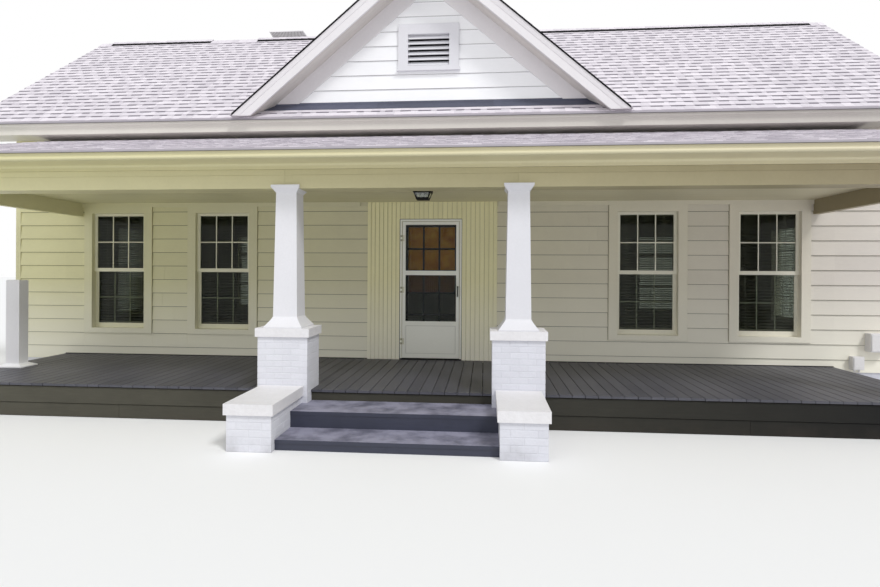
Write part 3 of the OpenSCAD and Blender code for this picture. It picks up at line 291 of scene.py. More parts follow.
# The flashing's dark blue, darker towards the right end, is partly the flashing's colour and partly
# painted shadow of the gable
FLASHING_AND_SHADOW = surface("flashing_and_painted_shadow", "", 0x62667B, 0x46495A, rough=0.6, bump=0.2,
                   right=(0x444758, 0x2E303E))
surface("vent_metal", "roof_vent", 0xB8B4B4, 0xA29E9E)
METAL_LIGHT = surface("vent_ribs", "", 0xF4F2F3, 0xE6E4E5, bump=0.12)
surface("painted_hinges", "door_hinges", 0xB4B198, 0xA8A58C, rough=0.45, bump=0.1)
BOX_PAINT = surface("box_paint", "utility_boxes", 0xF0EEF0, 0xE2E0E1)
BULB = surface("frosted_bulb", "", 0xFFFEFA, 0xF6F5F0, rough=0.4, bump=0.05)
surface("brass", "front_door_fittings", 0xBE965A, 0x96703C, rough=0.3, grain=80, bump=0.08, metallic=1.0)
DOOR_DARK = surface("dark_door", "front_door", 0x1C201E, 0x101312, rough=0.4, bump=0.2,
                    stretch=(1, 1, 0.08), specular=0.2)
# The curtain's dark colour is painted shade on its lower part
CURTAIN = surface("curtain_cloth", "", 0xFFBA3E, 0x9E420E, rough=0.9, grain=38, bump=0.5,
                  stretch=(1, 1, 0.7), blotch=7, tones=0.2, painted_shade=0x54381E, specular=0.05)
BLIND = surface("blind_slats", "", 0xE0DBCE, 0xC8C2B4, rough=0.55, grain=50, bump=0.1)
# The storm door's dark colour is painted shade on the kick panel's moulding; its stains near the ground
# are dirt
STORM = surface("storm_door_paint", "storm_door", 0xFCFCF4, 0xF4F4EB, rough=0.4, grain=50,
                bump=0.08, dirt=(0.2, 0.6, STAIN), painted_shade=0x464238)
# The window glass's grey tint dims the rooms behind it: painted shade
pane_material("window_glass", "window_glass", (0.7, 0.72, 0.68), 0.6)
pane_material("door_glass", "storm_door_glass front_door_glass", (0.9, 0.91, 0.9), 0.45)
LAMP_GLASS = pane_material("lantern_glass", "", (0.9, 0.92, 0.9), 1.0, 1.45, 0.18)


# Shapes
def in_scene(name, data):
    thing = bpy.data.objects.new(name, data)
    scene.collection.objects.link(thing)
    return thing


# The points, faces and tones of the closed solids that the next piece consists of
points, faces, tones = [], [], []


def solid(*rings, tone=0.5):
    """A solid through two or more rings of points that run the same way round."""
    n, first = len(rings[0]), len(points)
    last = first + n * (len(rings) - 1)
    for ring in rings:
        points.extend(ring)
    tones.extend([tone] * (n * len(rings)))
    faces.append([first + i for i in reversed(range(n))])
    faces.append([last + i for i in range(n)])
    for start in range(first, last, n):
        for i in range(n):
            j = (i + 1) % n
            faces.append([start + i, start + j, start + n + j, start + n + i])


def box(low, high, tone=0.5, place=local):
    """A block between two corners."""
    corners = ((low[0], low[1]), (high[0], low[1]), (high[0], high[1]), (low[0], high[1]))
    solid(*([place(x, y, z) for x, y in corners] for z in (low[2], high[2])), tone=tone)


def run(outline, start, end, place=along_x, tone=0.5):
    """Extrudes an outline of (a, b) pairs; place(a, b, t) gives the point at t."""
    solid(*([place(a, b, t) for a, b in outline] for t in (start, end)), tone=tone)


def make(name, material, body="house", stands_for=(), smooth=False):
    """Turns what was collected into a piece of the scene and starts anew."""
    mesh = bpy.data.meshes.new(name)
    mesh.from_pydata([tuple(p) for p in points], [], faces)
    layer = mesh.attributes.new("tone", "FLOAT", "POINT")
    layer.data.foreach_set("value", tones)
    work = bmesh.new()
    work.from_mesh(mesh)
    bmesh.ops.recalc_face_normals(work, faces=work.faces)
    work.to_mesh(mesh)
    work.free()
    if smooth:
        mesh.shade_smooth()
    piece = in_scene(name, mesh)
    mesh.materials.append(material)
    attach(piece, body)
    if stands_for:
        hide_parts(*stands_for)
    for collected in (points, faces, tones):
        collected.clear()


def tone():
    return chance.uniform(0.25, 0.75)


def shared(start, end, count, gap=0.0):
    """The ends of count boards side by side from start to end, each less a gap at both ends."""
    step = (end - start) / count
    return [(start + k * step + gap, start + (k + 1) * step - gap) for k in range(count)]


def strip(a, b):
    """The outline of a thin board below its place."""
    return [(a, 0), (b, 0), (b, -0.012), (a, -0.012)]


def bevelled(a, b, back, front, across, deep):
    """The outline of a board from a to b whose front edges are bevelled."""
    return [(a, back), (a, front + deep), (a + across, front), (b - across, front),
            (b, front + deep), (b, back)]


def rectangle(x, y, half_x, half_y, z):
    """The corners of a level rectangle round (x, y)."""
    return [local(x + a * half_x, y + b * half_y, z) for a, b in SQUARE]


def turns_round(x, y):
    """Four places (u, v, z) round (x, y), each turned by another quarter."""
    for c, s in ((1, 0), (0, 1), (-1, 0), (0, -1)):
        yield lambda u, v, z, c=c, s=s: local(x + c * u - s * v, y + s * u + c * v, z)


def circle(x, y, radius, z, count):
    turns = [2 * math.pi * k / count for k in range(count)]
    return [local(x + radius * math.cos(t), y + radius * math.sin(t), z) for t in turns]


# Lap siding. A board is thick at its foot and thin at its top
COURSE = 0.209
FIRST_LAP, FIRST_LAP_RIGHT = 0.128, 0.106
LAP_FOOT, LAP_TOP = 0.0176, 0.003
BOARD_LENGTH = 3.66
HALF_SEAM = 0.0008
SLIVER = 0.004
# The tone of the dark line at each board's top: painted shade
SHADE_LINE_TONE = -0.9


def lap_siding(place, z0, z1, edges, holes=(), first=FIRST_LAP, joints=True, pitch=COURSE, line=0.0075):
    """Lapped boards between z0 and z1, each with a dark line of painted shade at its top, below the next
    one.
    edges(z) gives the two ends, and holes are (u0, u1, z0, z1)."""
    course = math.floor((z0 - first) / pitch)
    while first + course * pitch < z1 - 0.001:
        top = first + course * pitch + pitch
        low, high = max(first + course * pitch, z0), min(top, z1)
        course += 1
        if high - low < SLIVER:
            continue
        start, end = edges(low)
        cuts = {u for h in holes if h[2] < high and h[3] > low for u in h[:2] if start < u < end}
        if joints:
            at = start + chance.uniform(1.2, 3.6)
            while at < end - 0.6:
                if not any(h[0] - 0.15 < at < h[1] + 0.15 for h in holes):
                    cuts.add(at)
                at += BOARD_LENGTH
        marks = [None, *sorted(cuts), None]
        for a, b in zip(marks, marks[1:]):
            middle = ((start if a is None else a) + (end if b is None else b)) / 2
            spans = [(low, high)]
            for u0, u1, hole_low, hole_high in holes:
                if u0 < middle < u1:
                    spans = [part for s0, s1 in spans
                             for part in ((s0, min(s1, hole_low)), (max(s0, hole_high), s1))
                             if part[1] - part[0] > SLIVER]
            shade = tone()
            for s0, s1 in spans:
                line_foot = s1 - line if s1 >= top - 1e-6 else s1
                for span, look in (((s0, line_foot), shade), ((line_foot, s1), SHADE_LINE_TONE)):
                    board_part(place, edges, a, b, span, top, pitch, look)


def board_part(place, edges, a, b, span, top, pitch, look):
    """A part of a board's height, from the cut a to the cut b or to the wall's edges."""
    if span[1] - span[0] < 0.001:
        return
    rings = []
    for z in span:
        left, right = edges(z)
        left = left if a is None else a + HALF_SEAM
        right = right if b is None else b - HALF_SEAM
        if not rings and right - left < 0.003:
            return
        if right - left < 0.002:
            tip = (left + right) / 2
            left, right = tip - 0.001, tip + 0.001
        out = LAP_TOP + (LAP_FOOT - LAP_TOP) * (top - z) / pitch
        rings.append([place(left, 0, z), place(right, 0, z), place(right, out, z), place(left, out, z)])
    solid(*rings, tone=look)


def on_front(u, out, z):
    return local(u, -out, z)


def on_back(u, out, z):
    return local(u, HOUSE_D + out, z)


def on_left(u, out, z):
    return local(-HALF_W - out, u, z)


def on_right(u, out, z):
    return local(HALF_W + out, u, z)


# Siding of the front wall: under the porch ceiling, outside the beams, and past the porch
CORNER_IN = 0.06
BEAM_IN = 5.445
SIDING_FOOT = 0.012
opening = CASING_HALF + CASING_GAP
window_holes = [(x - opening, x + opening, CASING_LOW, CASING_HIGH) for x in WINDOWS_X]
panel_left, panel_right = box_of("entry_panel")[0].x + 0.041, box_of("entry_panel")[1].x - 0.014
deck_low, deck_high = box_of("porch_deck")
deck_end = deck_high.x
wall_end = HALF_W - CORNER_IN
wall_top = SOFFIT_Z - 0.002
frieze_z = CEILING_Z - 0.06
for x0, x1, z0, z1, first, joints in (
        (-BEAM_IN, panel_left, SIDING_FOOT, frieze_z, FIRST_LAP, True),
        (panel_right, BEAM_IN, SIDING_FOOT, frieze_z, FIRST_LAP_RIGHT, True),
        (-deck_end, -BEAM_IN, SIDING_FOOT, wall_top, FIRST_LAP, False),
        (-wall_end, -deck_end, WALL_Z0, wall_top, FIRST_LAP, False),
        (BEAM_IN, deck_end, SIDING_FOOT, wall_top, FIRST_LAP_RIGHT, False),
        (deck_end, wall_end, WALL_Z0, wall_top, FIRST_LAP_RIGHT, False)):
    lap_siding(on_front, z0, z1, lambda z: (x0, x1), window_holes, first, joints)
make("front_siding", SIDING_CREAM)

# A dark strip in the gap between the siding and the porch floor: painted shade
for x0, x1 in ((-deck_end, panel_left), (panel_right, deck_end)):
    run([(-0.0004, 0.0004), (-0.003, 0.0004), (-0.0022, SIDING_FOOT + 0.003),
         (-0.0004, SIDING_FOOT + 0.003)], x0, x1)
make("base_gap_shade", DARK)

# Dark strips in the narrow gaps where the siding meets the window casings: painted shade
for place, centres in ((on_front, WINDOWS_X), (on_back, WINDOWS_X), (on_left, (RIDGE_Y,)),
                       (on_right, (RIDGE_Y,))):
    for centre in centres:
        for side in SIDES:
            box((centre + side * (CASING_HALF + 0.0003), 0.0003, CASING_LOW),
                      (centre + side * (opening + 0.0006), 0.005, CASING_HIGH), -1.0, place)
make("casing_gap_shade", SIDING_CREAM)

lap_siding(on_back, WALL_Z0, wall_top, lambda z: (-wall_end, wall_end), window_holes)
make("back_siding", SIDING_SIDES)


# Roofs
class Slope:
    """A roof slope in section, from its lip up to its top."""

    def __init__(self, lip, lip_z, top, top_z):
        self.lip, self.lip_z = lip, lip_z
        self.rise = (top_z - lip_z) / (top - lip)
        self.cos, self.sin = math.cos(math.atan(self.rise)), math.sin(math.atan(self.rise))
        self.length = (top - lip) / self.cos

    def at(self, v, h=0.0):
        """The place v up the slope and h out of it."""
        return (self.lip + v * self.cos - h * self.sin, self.lip_z + v * self.sin + h * self.cos)

    def height(self, y):
        return self.lip_z + (y - self.lip) * self.rise


def slope_of(name, top=None):
    """The slope of a roof's node, up to its highest place."""
    points = [(v.co.y - WALL_Y, v.co.z - FLOOR_Z) for v in nodes[name].data.vertices]
    lip = min(points)[0]
    lip_z = max(z for y, z in points if y < lip + 1e-4)
    return Slope(lip, lip_z, top or max(points)[0], max(z for y, z in points))


MAIN = slope_of("main_roof_front", RIDGE_Y)
PORCH = slope_of("porch_roof")
ridge_z = MAIN.height(RIDGE_Y)
roof_end = box_of("main_roof_front")[1].x
eave_y = box_of("main_eaves")[0].y
porch_end = box_of("porch_roof")[1].x


# Siding of the end walls, up to the underside of the roof
def end_edges(z):
    inward = max(0.0, (z - MAIN.height(0) + ROOF_T) / MAIN.rise)
    return (max(CORNER_IN, inward), min(HOUSE_D - CORNER_IN, HOUSE_D - inward))


kink = MAIN.height(CORNER_IN) - ROOF_T
for place in (on_left, on_right):
    lap_siding(place, WALL_Z0, kink, end_edges,
               [(RIDGE_Y - opening, RIDGE_Y + opening, CASING_LOW, CASING_HIGH)])
    lap_siding(place, kink, ridge_z - ROOF_T, end_edges)
make("end_siding", SIDING_SIDES)

# The front gable. Its roof meets the main eave's top at GABLE_HALF and ends at GABLE_END
EAVE_LINE = -0.42
GABLE_HALF, GABLE_END = 2.83, 2.89
GABLE_COURSE = 0.2127
VENT_HALF = 0.445
gable_lip, gable_top = box_of("gable_roof")[0].y, box_of("gable_roof")[1].z
eave_top = MAIN.height(EAVE_LINE)
gable_rise = (gable_top - eave_top) / GABLE_HALF
GABLE = Slope(-GABLE_END, gable_top - GABLE_END * gable_rise, 0.0, gable_top)
frieze_low = gable_top - 0.1906 - 0.3
gable_base = MAIN.height(GABLE_Y)
vent_low, vent_high = box_of("gable_vent")


def gable_edges(z):
    half = max(0.0, (frieze_low - z) / gable_rise)
    return (-half, half)


def on_gable(u, out, z):
    return local(u, GABLE_Y - out, z)


lap_siding(on_gable, gable_base + 0.012, frieze_low, gable_edges,
           [(-VENT_HALF, VENT_HALF, vent_low.z, vent_high.z)], first=gable_base,
           pitch=GABLE_COURSE, line=0.006)
make("gable_siding", SIDING_WHITE)

# Flashing where the gable wall meets the roof in front of it: a middle strip and two ends.
# Its wide flange and dark blue are partly the flashing and partly painted shadow of the gable on the
# roof.
flashing_end = (frieze_low - gable_base) / gable_rise + 0.4
outline = [(0.0185, -0.004), (0.15, 0.009 - 0.15 * MAIN.rise), (0.15, 0.012 - 0.15 * MAIN.rise),
           (0.03, 0.015 - 0.03 * MAIN.rise), (0.0215, 0.03), (0.0185, 0.032)]
run(outline, -0.75, 0.95, lambda out, z, x: on_gable(x, out, gable_base + z), 0.3)
for side, start in ((-1, 0.745), (1, 0.945)):
    solid([on_gable(side * start, out, gable_base + z) for out, z in outline],
                [on_gable(side * (flashing_end - z / gable_rise), out, gable_base + z)
                 for out, z in outline], tone=0.6)
make("gable_flashing_and_shadow", FLASHING_AND_SHADOW)

# Shingles
EXPOSURE = 0.143


def clip(polygon, lines):
    """Cuts a polygon with lines (a, b, c), keeping a*u + b*v <= c."""
    for a, b, c in lines:
        kept = []
        for p, q in zip(polygon, polygon[1:] + polygon[:1]):
            dp, dq = a * p[0] + b * p[1] - c, a * q[0] + b * q[1] - c
            if dp <= 0:
                kept.append(p)
            if dp * dq < 0:
                t = dp / (dp - dq)
                kept.append((p[0] + t * (q[0] - p[0]), p[1] + t * (q[1] - p[1])))
        polygon = kept
    return polygon


def area(polygon):
    following = polygon[1:] + polygon[:1]
    return abs(sum(p[0] * q[1] - q[0] * p[1] for p, q in zip(polygon, following))) / 2


def shingle_field(place, u0, u1, length, lines=(), bands=0.95):
    """Courses of laminated tabs, thick and thin by turns, on a slope. A dark line of painted shade
    lies below each course, and a wider dark band below each thick tab, which is partly the
    shingles' printed shadow band and partly painted shade."""
    def tile(left, right, low, high, foot, top, look=None, least=2e-4):
        """A flat solid, cut by the lines, whose outer face lies top(v) above the roof."""
        outline = clip([(left, low), (right, low), (right, high), (left, high)], lines)
        if len(outline) > 2 and area(outline) > least:
            solid([place(u, v, foot) for u, v in outline], [place(u, v, top(v)) for u, v in outline],
                  tone=chance.uniform(0.2, 1.0) if look is None else look)

    v = 0.012
    while v < length - 0.02:
        u = u0 - chance.uniform(0, 0.3)
        thick = chance.random() < 0.5
        # A dark line below each course: painted shade
        if v > 0.1:
            tile(u0, u1, v - 0.011, v, 0.0004, lambda at: 0.0029, -0.55 * bands, 0.0)
        while u < u1:
            wide = chance.uniform(0.09, 0.21) if thick else chance.uniform(0.06, 0.14)
            left, right = max(u, u0), min(u + wide, u1)
            if right - left > 0.01:
                rise = 0.009 if thick else 0.0055
                tile(left, right, v, min(v + EXPOSURE, length), 0.0,
                     lambda at: 0.0012 + rise * (1 - (at - v) / EXPOSURE))
                # A wider dark band below each thick tab: printed shadow band and painted shade
                if thick and v > 0.1:
                    tile(left, right, v - 0.027, v, 0.0004, lambda at: 0.0036, -bands)
            u += wide + 0.0006
            thick = not thick
        v += EXPOSURE


def on_main(u, v, h):
    return local(u, *MAIN.at(v, h))


def on_main_back(u, v, h):
    y, z = MAIN.at(v, h)
    return local(u, HOUSE_D - y, z)


def on_gable_roof(side, y, v, h, up=0.0):
    x, z = GABLE.at(v, h)
    return local(-side * x, y, z + up)


# Main roof. Each valley runs from the eave, valley_u from the middle, up to the gable's ridge
valley_y = MAIN.lip + (gable_top - MAIN.lip_z) / MAIN.rise
valley_v = (valley_y - MAIN.lip) / MAIN.cos
valley_u = (gable_top - MAIN.lip_z) / gable_rise
valley_rise = valley_v / valley_u
for side in SIDES:
    shingle_field(on_main, *sorted((0, side * roof_end)), MAIN.length,
                  [(-side * valley_rise, -1, -valley_v)])
make("front_shingles", SHINGLE)

# Shingles below the gable wall, in front of the gable
shingle_field(on_main, -valley_u, valley_u, (GABLE_Y - MAIN.lip) / MAIN.cos,
              [(-valley_rise, 1, valley_v), (valley_rise, 1, valley_v)])
make("gable_foot_shingles", SHINGLE)

shingle_field(on_main_back, -roof_end, roof_end, MAIN.length)
make("back_shingles", SHINGLE)

# Gable roof: in (y, v), it ends where the main roof rises above it and at the eave's top
for side in SIDES:
    shingle_field(lambda y, v, h: on_gable_roof(side, y, v, h), gable_lip, RIDGE_Y, GABLE.length,
                  [(MAIN.rise, -GABLE.sin, GABLE.lip_z - MAIN.height(0)),
                   (0, -GABLE.sin, GABLE.lip_z - eave_top - 0.004)])
make("gable_shingles", SHINGLE)

shingle_field(lambda u, v, h: local(u, *PORCH.at(v, h)), -porch_end, porch_end, PORCH.length,
              bands=0.65)
make("porch_shingles", SHINGLE_LOW)


# Ridge caps, which run over black ridge vents in two places
def caps(place, start, end, half, drop):
    """Overlapping cap shingles along a ridge: place(t, side, out) with out above the ridge."""
    flank, crest = -half * drop, 0.01 - half * drop * 0.1
    outline = [(-half, flank + 0.006), (-half * 0.12, crest), (half * 0.12, crest),
               (half, flank + 0.006), (half, flank), (0, 0.0), (-half, flank)]
    t = start
    while t < end - 0.02:
        stop = min(t + EXPOSURE + 0.03, end)
        solid([place(t, a, b + 0.007) for a, b in outline],
                    [place(stop, a, b + 0.001) for a, b in outline], tone=chance.uniform(0.1, 0.9))
        t += EXPOSURE


runs = ((-roof_end, -6.8, False), (-6.8, -4.68, True), (-4.68, -3.73, False),
        (-3.73, 6.8, True), (6.8, roof_end, False))
for x0, x1, vent in runs:
    lift, half = (0.029, 0.076) if vent else (0.006, 0.14)
    caps(lambda t, a, b: local(t, RIDGE_Y + a, ridge_z + b + lift), x0, x1, half, MAIN.rise)
caps(lambda t, a, b: local(a, t, gable_top + b + 0.008), gable_lip, valley_y - 0.02, 0.13, gable_rise)
make("ridge_caps", SHINGLE)

VENT_LENGTH = 2.4
vent_section = [(0.0, 0.004), (0.115, 0.012), (0.115, 0.015), (0.074, 0.016), (0.068, 0.03),
                (0.0, 0.026)]
for x0, x1, vent in runs:
    for a0, a1 in shared(x0, x1, round((x1 - x0) / VENT_LENGTH), 0.002) if vent else ():
        for side in SIDES:
            run(vent_section, a0, a1,
                lambda a, b, t: local(t, RIDGE_Y + side * a, ridge_z + b - a * MAIN.rise), tone())
make("ridge_vent", BLACK)

# Black drip edge on the front of the gable's roof, down to the main eave
for side in SIDES:
    run([(0, 0.003), (0, -0.026), (0.005, -0.026), (0.005, 0.003)], (eave_top + 0.026 - GABLE.lip_z) /
        GABLE.sin, GABLE.length, lambda a, b, t: on_gable_roof(side, gable_lip - 0.005 + a, t, 0.0, b))
make("gable_drip_edges", BLACK)

# Crown moulding along the top of the gable's rake boards, cut level at its foot
RAKE_IN = 0.022
crown = ((0.0, 0.0235), (0.019, 0.0235), (0.019, 0.048), (0.0145, 0.05), (0.0145, 0.0545),
         (0.017, 0.058), (0.013, 0.078), (0.008, 0.098), (0.0065, 0.108), (0.003, 0.112), (0.0, 0.112))


def on_rake(side, out, drop, x):
    return local(side * x, gable_lip + RAKE_IN + 0.0002 - out, gable_top - drop - x * gable_rise)


for side in SIDES:
    solid([on_rake(side, out, drop, 0.0006) for out, drop in crown],
                [on_rake(side, out, drop, (gable_top - drop - eave_top - 0.003) / gable_rise)
                 for out, drop in crown])
make("rake_moulding", RAKE)

# Ribs on the four sloping faces of the roof vent's head, and its top plate
RIB_STEP, RIB_OUT = 0.034, 0.0075
low, high = box_of("roof_vent")
mx, my = (low.x + high.x) / 2, (low.y + high.y) / 2
wide, deep = (high.x - low.x) / 2, (high.y - low.y) / 2
for place, half, reach in zip(turns_round(mx, my), (wide, deep) * 2, (deep, wide) * 2):
    count = round(half * 2 / RIB_STEP)
    for k in range(count):
        left, right = -1 + (2 * k + 0.55) / count, -1 + (2 * k + 1.45) / count
        spots = ((left, 0), (right, 0), (right, RIB_OUT), (left, RIB_OUT))
        solid(*([place(f * (half - inset), inset - reach - out, high.z - drop) for f, out in spots]
                for drop, inset in ((0.1365, 0.0735), (0.0185, 0.0125))), tone=tone())
solid(*(rectangle(mx, my, wide + 0.0012, deep + 0.0012, high.z - drop) for drop in (0.019, 0.0002)))
make("roof_vent_ribs", METAL_LIGHT)

# Soffit boards under the gable's roof, under the main roof's ends and under the porch's ends
under = gable_top - ROOF_T
for side in SIDES:
    for y0, y1 in shared(gable_lip + RAKE_IN + 0.0345, GABLE_Y - 0.0245, 4, 0.001):
        outline = strip(y0, y1)
        ends = [(under + b - max(eave_top, MAIN.height(a))) / gable_rise for a, b in outline]
        solid([local(0.0, a, under + b) for a, b in outline],
              [local(side * t, a, under - t * gable_rise + b) for (a, b), t in zip(outline, ends)],
              tone=tone())
make("gable_soffit", SOFFIT)


def sloping_soffit(side, slope, y0, y1, drop, x0, count, step, gap, back=False):
    """Boards side by side below a roof's end, that run up along its slope from y0 to y1."""
    def place(a, b, t):
        y, z = y0 + t * slope.cos, slope.height(y0) - drop + t * slope.sin + b
        return local(side * a, HOUSE_D - y if back else y, z)
    for x in (x0 + k * step for k in range(count)):
        run(strip(x, x + step - gap), 0.0, (y1 - y0) / slope.cos, place, tone())


for side in SIDES:
    for back in (False, True):
        sloping_soffit(side, MAIN, eave_y + 0.08, RIDGE_Y - 0.005, ROOF_T, HALF_W + 0.018, 4, 0.112,
                       0.003, back)
make("end_soffits", SOFFIT)
for side in SIDES:
    sloping_soffit(side, PORCH, -2.55, -0.07, 0.075, 5.537, 3, 0.1415, 0.004)
make("porch_end_soffits", CREAM)

# Painted bricks, with their mortar a little behind their faces
BRICK_LENGTH, BRICK_ROW, BRICK_DEPTH, JOINT = 0.213, 0.067, 0.09, 0.008
WORN_EDGE, MORTAR_IN = 0.002, 0.002
GROUND_Z = -FLOOR_Z


def brick_face(place, length, z0, rows, row_h, full_first):
    """One face of a wall in running bond; corners alternate between this face and the next."""
    for row in range(rows):
        full = (row % 2 == 0) == full_first
        start = 0.0 if full else BRICK_DEPTH + JOINT
        room = length - 2 * start
        count = max(1, round(room / BRICK_LENGTH))
        wide = (room - (count - 1) * JOINT) / count
        u = start - (wide / 2 if full and count > 8 else 0.0)
        z = z0 + row * row_h + JOINT / 2
        while u < start + room - 0.01:
            low, high = max(u, start), min(u + wide, start + room)
            if high - low > 0.02:
                brick(place, low, high, z, z + row_h - JOINT)
            u += wide + JOINT


def brick(place, u0, u1, z0, z1):
    """One brick, whose outer face has worn, sloping edges."""
    wear = chance.uniform(-0.0007, 0.0005)
    rings = []
    for out, c in ((-BRICK_DEPTH, 0), (wear - WORN_EDGE, 0), (wear, WORN_EDGE)):
        rings.append([place(u0 + c, out, z0 + c), place(u1 - c, out, z0 + c),
                      place(u1 - c, out, z1 - c), place(u0 + c, out, z1 - c)])
    solid(*rings, tone=tone())


def brick_block(x0, x1, y0, y1, top):
    """The four faces of a block of brickwork that stands on the ground."""
    rows = round((top - GROUND_Z) / BRICK_ROW)
    for place, length, full_first in (
            (lambda u, out, z: local(x0 + u, y0 - out, z), x1 - x0, True),
            (lambda u, out, z: local(x0 + u, y1 + out, z), x1 - x0, True),
            (lambda u, out, z: local(x0 - out, y0 + u, z), y1 - y0, False),
            (lambda u, out, z: local(x1 + out, y0 + u, z), y1 - y0, False)):
        brick_face(place, length, GROUND_Z, rows, (top - GROUND_Z) / rows, full_first)


def brick_blocks(node, name, centres, half):
    """Bricks and mortar for a node that consists of equal blocks."""
    low, high = box_of(node)
    for x in centres:
        brick_block(x - half, x + half, low.y, high.y, high.z)
    make(name + "_bricks", BRICK, stands_for=(node,))
    for x in centres:
        box((x - half + MORTAR_IN, low.y + MORTAR_IN, GROUND_Z),
            (x + half - MORTAR_IN, high.y - MORTAR_IN, high.z))
    make(name + "_mortar", MORTAR)


PIER_X = (-5.57, -1.347, 1.197, 5.57)
PIER_HALF, CHEEK_HALF = 0.278, 0.217
brick_blocks("porch_piers", "pier", PIER_X, PIER_HALF)
brick_blocks("cheek_walls", "cheek", PIER_X[1:3], CHEEK_HALF)

WALL_T = 0.2955
brick_block(-HALF_W, HALF_W, 0.0, HOUSE_D, WALL_Z0)
make("foundation_bricks", BRICK, stands_for=("foundation",))
for y0, y1 in ((MORTAR_IN, WALL_T), (HOUSE_D - WALL_T, HOUSE_D - MORTAR_IN)):
    box((MORTAR_IN - HALF_W, y0, GROUND_Z), (HALF_W - MORTAR_IN, y1, WALL_Z0))
for side in SIDES:
    box((side * (HALF_W - MORTAR_IN), WALL_T + 0.0005, GROUND_Z),
        (side * (HALF_W - WALL_T), HOUSE_D - WALL_T - 0.0005, WALL_Z0))
make("foundation_mortar", MORTAR)

# Boards of the porch floor, notched round the piers
DECK_BOARDS, DECK_GAP = 84, 0.003
NOTCH = PIER_HALF + 0.0005
notches = [x + side * NOTCH for x in PIER_X for side in SIDES]
pier_back = box_of("porch_piers")[1].y
for x0, x1 in shared(deck_low.x, deck_high.x, DECK_BOARDS, DECK_GAP):
    shade = tone()
    end = deck_low.y + chance.uniform(0, 0.004)
    marks = [x0, *(x for x in notches if x0 < x < x1), x1]
    for a, b in zip(marks, marks[1:]):
        if b - a < SLIVER:
            continue
        inside = any(abs((a + b) / 2 - x) < NOTCH for x in PIER_X)
        c = min(0.004, (b - a) / 4)
        run(bevelled(a, b, -0.027, 0.0, c, -c), pier_back + 0.001 if inside else end, -0.001,
            lambda x, z, y: local(x, y, z), shade)
make("deck_boards", DECK, stands_for=("porch_deck",))

# The dark space below the boards, and the skirting, between the piers and along the sides
bays = [(a + PIER_HALF + 0.001, b - PIER_HALF - 0.001) for a, b in zip(PIER_X, PIER_X[1:])]
outline = [(0.002, -0.036), (0.04, -0.036), (0.04, -0.0275), (0.004, -0.0275)]
for a, b in bays:
    run(outline, a, b, lambda y, z, x: local(x, deck_low.y + 0.02 + y, z))
for side in SIDES:
    run(outline, pier_back + 0.001, -0.002, lambda x, z, y: local(side * (deck_end - x), y, z))
make("deck_shadow_gap", DARK)

skirt_low, skirt_high = box_of("porch_skirt")


def skirt_boards(place, u0, u1, joints):
    """An upper and a lower board with bevelled edges; only the lower one is jointed."""
    for z0, z1, front in ((-0.2245, -0.036, 0.0), (GROUND_Z + 0.001, -0.2275, 0.012)):
        marks = [u0, *(j for j in joints if u0 < j < u1 and front), u1]
        for a, b in zip(marks, marks[1:]):
            run(bevelled(z0, z1, 0.038, front, 0.004, 0.004), a + 0.0015, b - 0.0015, place, tone())


for a, b in bays:
    skirt_boards(lambda z, y, x: local(x, skirt_low.y + y, z), a, b, (-3.32, 3.6))
for side in SIDES:
    skirt_boards(lambda z, x, y: local(side * (skirt_high.x - x), y, z), pier_back + 0.001, -0.001,
                 (-0.9,))
make("skirt_boards", SKIRT, stands_for=("porch_skirt",))

# Grooved boards round the doorway, with a plain one along each outer edge, and a dark strip in each
# groove: painted shade
PANEL_EDGE = 0.052
PANEL_FACE, PANEL_BACK = -0.0183, -0.0003
GROOVE, GROOVE_SHADE_TONE = 0.006, -0.6
panel_top = CEILING_Z - 0.0006


def grooved(u0, u1, z0, count):
    for k, (a, b) in enumerate(shared(u0, u1, count)):
        run(bevelled(a + 0.002, b - 0.002, PANEL_BACK, PANEL_FACE, GROOVE - 0.002, GROOVE), z0,
            panel_top, local, tone())
        # A dark strip in the groove: painted shade
        if k:
            box((a - 0.0019, PANEL_FACE + GROOVE + 0.002, z0), (a + 0.0019, PANEL_BACK, panel_top),
                GROOVE_SHADE_TONE)


for side, edge in ((-1, panel_left), (1, panel_right)):
    outer = edge - side * 0.0005
    middle = outer - side * PANEL_EDGE
    grooved(*sorted((middle, DOOR_X + side * (DOOR_HALF + 0.0003))), 0.0008, 7)
    box((outer, -0.0213, 0.0008), (middle, PANEL_BACK, panel_top), tone())
grooved(DOOR_X - DOOR_HALF, DOOR_X + DOOR_HALF, DOOR_TOP + 0.001, 13)
make("entry_boards", BOARDS, stands_for=("entry_panel",))

# Boarded porch ceiling
low, high = box_of("porch_ceiling")
for a, b in shared(low.y, high.y, 25):
    run(bevelled(a, b, 0.016, 0.0, 0.003, 0.003), low.x, high.x,
        lambda y, z, x: local(x, y, CEILING_Z + z), tone())
make("ceiling_boards", CREAM, stands_for=("porch_ceiling",))

# Backing boards where the side beams meet the wall, and two boards on the front beam's face
low, high = box_of("porch_beams")
beam_foot = CEILING_Z - 0.137
for side in SIDES:
    box((side * (BEAM_IN + 0.0005), -0.0302, 2.1485), (side * (BEAM_IN + 0.0895), -0.0005, 3.235))
for x0, x1 in ((low.x, -1.36), (-1.358, 1.19), (1.192, high.x)):
    for z0, z1 in ((beam_foot + 0.0005, beam_foot + 0.148), (beam_foot + 0.1505, beam_foot + 0.211)):
        run(bevelled(z0, z1, 0.0, -0.004, 0.002, 0.0015), x0 + 0.0005, x1 - 0.0005,
            lambda z, y, x: local(x, low.y + y, z), tone())
make("beam_boards", BEAM)


